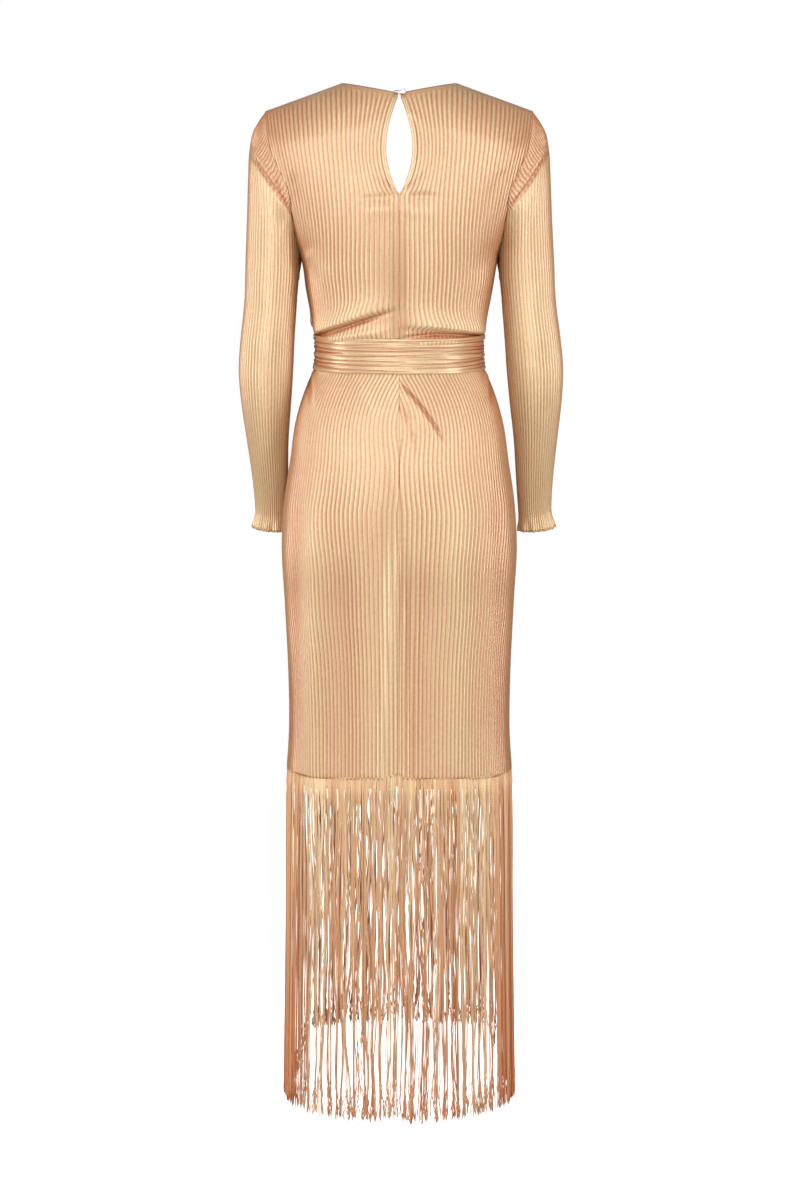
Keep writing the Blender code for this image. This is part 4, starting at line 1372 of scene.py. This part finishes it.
LOOP_START = 7.4  # how far to the left of the centre the loop is sewn on
LOOP_REACH, LOOP_HALF = 2.3, 2.07  # the loop's end beyond the button's middle, and half its width
LOOP_LIFT = GAP + 0.75
LOOP_RADIUS = 0.55


def make_loop(finish):
    """The loop that the button goes through: from the left corner round the shank and back."""
    x, z = BUTTON_PLACE
    turn = np.linspace(0, math.pi, 25)
    places = [(px, z + LOOP_HALF) for px in np.linspace(LOOP_START, x, 12, endpoint=False)]
    places += [(x - math.sin(a) * LOOP_REACH, z + math.cos(a) * LOOP_HALF) for a in turn]
    places += [(px, z - LOOP_HALF) for px in np.linspace(x, LOOP_START, 13)[1:]]
    points, outward = (np.array(parts)[None] for parts in zip(*(spot(*place) for place in places)))
    line = points + outward * LOOP_LIFT
    made, faces = tubes(line, np.full(line.shape[:2], LOOP_RADIUS), 10, outward)
    in_place(add_mesh("button_loop_cord", made, faces, finish), "button_loop")


STITCH_LENGTH, STITCH_RADIUS = 2.1, 0.28
STITCH_PITCH = 3.0
STITCH_SHAPE = (0.5, 0.95, 1, 0.95, 0.5)  # its thickness from end to end
NECK_STITCHES_BELOW = 5.5
NECK_STITCHES_FROM = {BACK: NECK_CORNER + 4, FRONT: 6}  # the first ones' distance from the centre line


def add_stitches(name, places, finish):
    """A row of short sewn stitches; places are pairs of a middle and an outward direction, in order."""
    middle, outward = (np.array(parts)[:, None] for parts in zip(*places))
    along = np.gradient(middle, axis=0)
    along /= np.linalg.norm(along, axis=-1, keepdims=True)
    f = np.linspace(-0.5, 0.5, len(STITCH_SHAPE))[None, :, None]
    lift = STITCH_RADIUS * (1 - (2 * f) ** 2) * 1.2
    lines = middle + along * f * STITCH_LENGTH + outward * lift
    radii = np.broadcast_to(STITCH_RADIUS * np.array(STITCH_SHAPE), lines.shape[:2])
    points, faces = tubes(lines, radii, 6, np.broadcast_to(outward, lines.shape))
    in_place(add_mesh(name, points, faces, finish))


def seam_stitches(finish):
    """Two rows of stitches that hold the allowances of the centre back seam, below the keyhole."""
    for side, name in ((LEFT, "back_stitches_left"), (RIGHT, "back_stitches_right")):
        places = []
        for z in np.arange(KEYHOLE_BOTTOM - 4, SASH_MIDDLE + SASH_HALF, -STITCH_PITCH):
            angle = side * angle_at(np.array(SEAM_BAND - 0.7), z)
            point, normal = body(angle, z, BACK), body_normal(angle, z, BACK)
            fold = float(creases_at(np.array(point[0]), z, BACK, CREASES)[0])
            places.append((point + normal * (fold + 0.1), normal))
        add_stitches(name, places, finish)


def neck_stitches(face, name, finish):
    """A row of stitches just under the neck's edge."""
    places = []
    for x in np.arange(-NECK_HALF_WIDTH + 5, NECK_HALF_WIDTH - 4, STITCH_PITCH):
        if abs(x) < NECK_STITCHES_FROM[face]:
            continue
        slope = neck_height(x + 0.5, face) - neck_height(x - 0.5, face)
        below = NECK_STITCHES_BELOW / math.hypot(slope, 1)
        point, normal = spot(x + slope * below, neck_height(x, face) - below, face)
        places.append((point + normal * 0.45, normal))
    add_stitches(name, places, finish)


# -------------------- the studio


# Each light's place (x, y, and z above the dress's middle), how far above the middle it aims, size and power.
SOFTBOXES = {
    "softbox_key": ((0.25, 3.2, 1.5), 0.1, (1.8, 2.0), 40.5),
    "softbox_top": ((0.1, 1.9, 2.85), 0.6, (2.2, 1.4), 17),
    "softbox_left": ((2.5, 1.1, 0.2), 0, (0.8, 2.4), 46),
    "softbox_right": ((-2.2, 1.8, 0.2), 0, (1.1, 2.4), 46),
    "softbox_front": ((0.2, -2.6, 1.0), 0, (1.8, 1.6), 70),
}
FLOOR_REACH, FLOOR_BELOW = 1.9, 0.02
CAMERA_PLACE, CAMERA_TARGET = (-1.1, 3700, -39.9), (-1.1, 0, -737)
LENS, SENSOR_WIDTH = 77.76, 36
PAPER = (0.93, 0.93, 0.93, 1)
WHITE = (1, 1, 1, 1)


def add_lights(middle):
    """Soft rectangular lights; the one in front fills it, and leaves no bright rim on the sides."""
    for name, (place, above, size, power) in SOFTBOXES.items():
        light = bpy.data.lights.new(name, "AREA")
        light.shape = "RECTANGLE"
        light.size, light.size_y = size
        light.energy = power
        lamp = add_object(name, light)
        lamp.location = (*place[:2], middle.z + place[2])
        way = middle + Vector((0, 0, above)) - lamp.location
        lamp.rotation_euler = way.to_track_quat("-Z", "Y").to_euler()
        lamp.visible_glossy = name != "softbox_front"


def add_floor(level):
    """A plain pale sheet of paper, which shows white while the lights alone light the dress."""
    r = FLOOR_REACH
    mesh = bpy.data.meshes.new("studio_floor")
    mesh.from_pydata([(-r, -r, level), (r, -r, level), (r, r, level), (-r, r, level)], [], [(0, 1, 2, 3)])
    paper = Finish("studio_paper")
    mesh.materials.append(
        paper.surface(Base_Color=PAPER, Roughness=0.9, Emission_Color=WHITE, Emission_Strength=0.95)
    )
    floor = add_object("studio_floor", mesh)
    floor.visible_diffuse = False
    floor.visible_glossy = False


def add_world():
    """An even glow, dimmer from below, from the front and from both sides, and white to the camera."""
    world = bpy.data.worlds.new("studio")
    bpy.context.scene.world = world
    world.use_nodes = True
    made = Nodes(world.node_tree)
    place = made.add("ShaderNodeTexCoord").outputs["Generated"]
    way = made.add("ShaderNodeSeparateXYZ", None, Vector=place).outputs
    glow = made.ramp(way["Z"], -0.6, 0.6, 0.48, 0.6)
    sides = made.ramp(made.math("ABSOLUTE", way["X"]), 0.45, 0.95, 1.0, 0.4)
    front = made.ramp(way["Y"], -0.8, -0.1, 0.35, 1.0)
    strength = made.math("MULTIPLY", made.math("MULTIPLY", glow, sides), front)
    seen = made.add("ShaderNodeLightPath").outputs["Is Camera Ray"]
    level = made.add("ShaderNodeMix", None, Factor=seen, A=strength, B=1.0).outputs[0]
    background = world.node_tree.nodes["Background"]
    made.put(background, "Strength", level)
    made.put(background, "Color", WHITE)


def add_camera():
    """The photograph's viewing angle: from behind, level with the shoulders and looking slightly down."""
    camera = bpy.data.cameras.new("camera")
    camera.lens = LENS
    camera.sensor_width = SENSOR_WIDTH
    eye, target = Vector(CAMERA_PLACE) * MM, Vector(CAMERA_TARGET) * MM
    seen = add_object("camera", camera)
    seen.location = eye
    seen.rotation_euler = (target - eye).to_track_quat("-Z", "Y").to_euler()
    bpy.context.scene.camera = seen


def make_dress():
    """Every piece of the dress, with its material."""
    # Each jersey takes a crest colour, paler as a painted highlight, and a hollow colour, a painted shade.
    cloth = jersey("pleated_jersey", "D8C092", "A64D1B")
    tape = jersey("fringe_tape", "D8C096", "B05424")
    strings = yarn("fringe_yarn", "F0DAB0", "C2622C")
    sewing = thread("sewing_thread", "C79466")
    make_bodice(cloth)
    make_back_and_front("skirt", skirt_half, cloth)
    make_sleeves(cloth, thread("cuff_edging", "D8A272"))
    make_sash(jersey("sash_jersey", "D2B98E", "A64A1B"))
    fringe_strings(BACK, "fringe_back", 7, strings)
    fringe_strings(FRONT, "fringe_front", 11, strings)
    fringe_tape(BACK, "fringe_heading_back", tape)
    fringe_tape(FRONT, "fringe_heading_front", tape)
    make_keyhole_edges(cloth)
    make_button(pearl("button_pearl"))
    make_loop(thread("loop_cord", "8E5A38"))
    seam_stitches(sewing)
    neck_stitches(BACK, "neck_stitches_back", sewing)
    neck_stitches(FRONT, "neck_stitches_front", sewing)


def add_studio():
    """The plain floor, the soft lights and the world around the dress."""
    low, high = cad_box
    add_floor(low.z - FLOOR_BELOW)
    add_lights((low + high) / 2)
    add_world()


add_camera()
make_dress()
add_studio()
bpy.context.scene.view_settings.view_transform = "Standard"
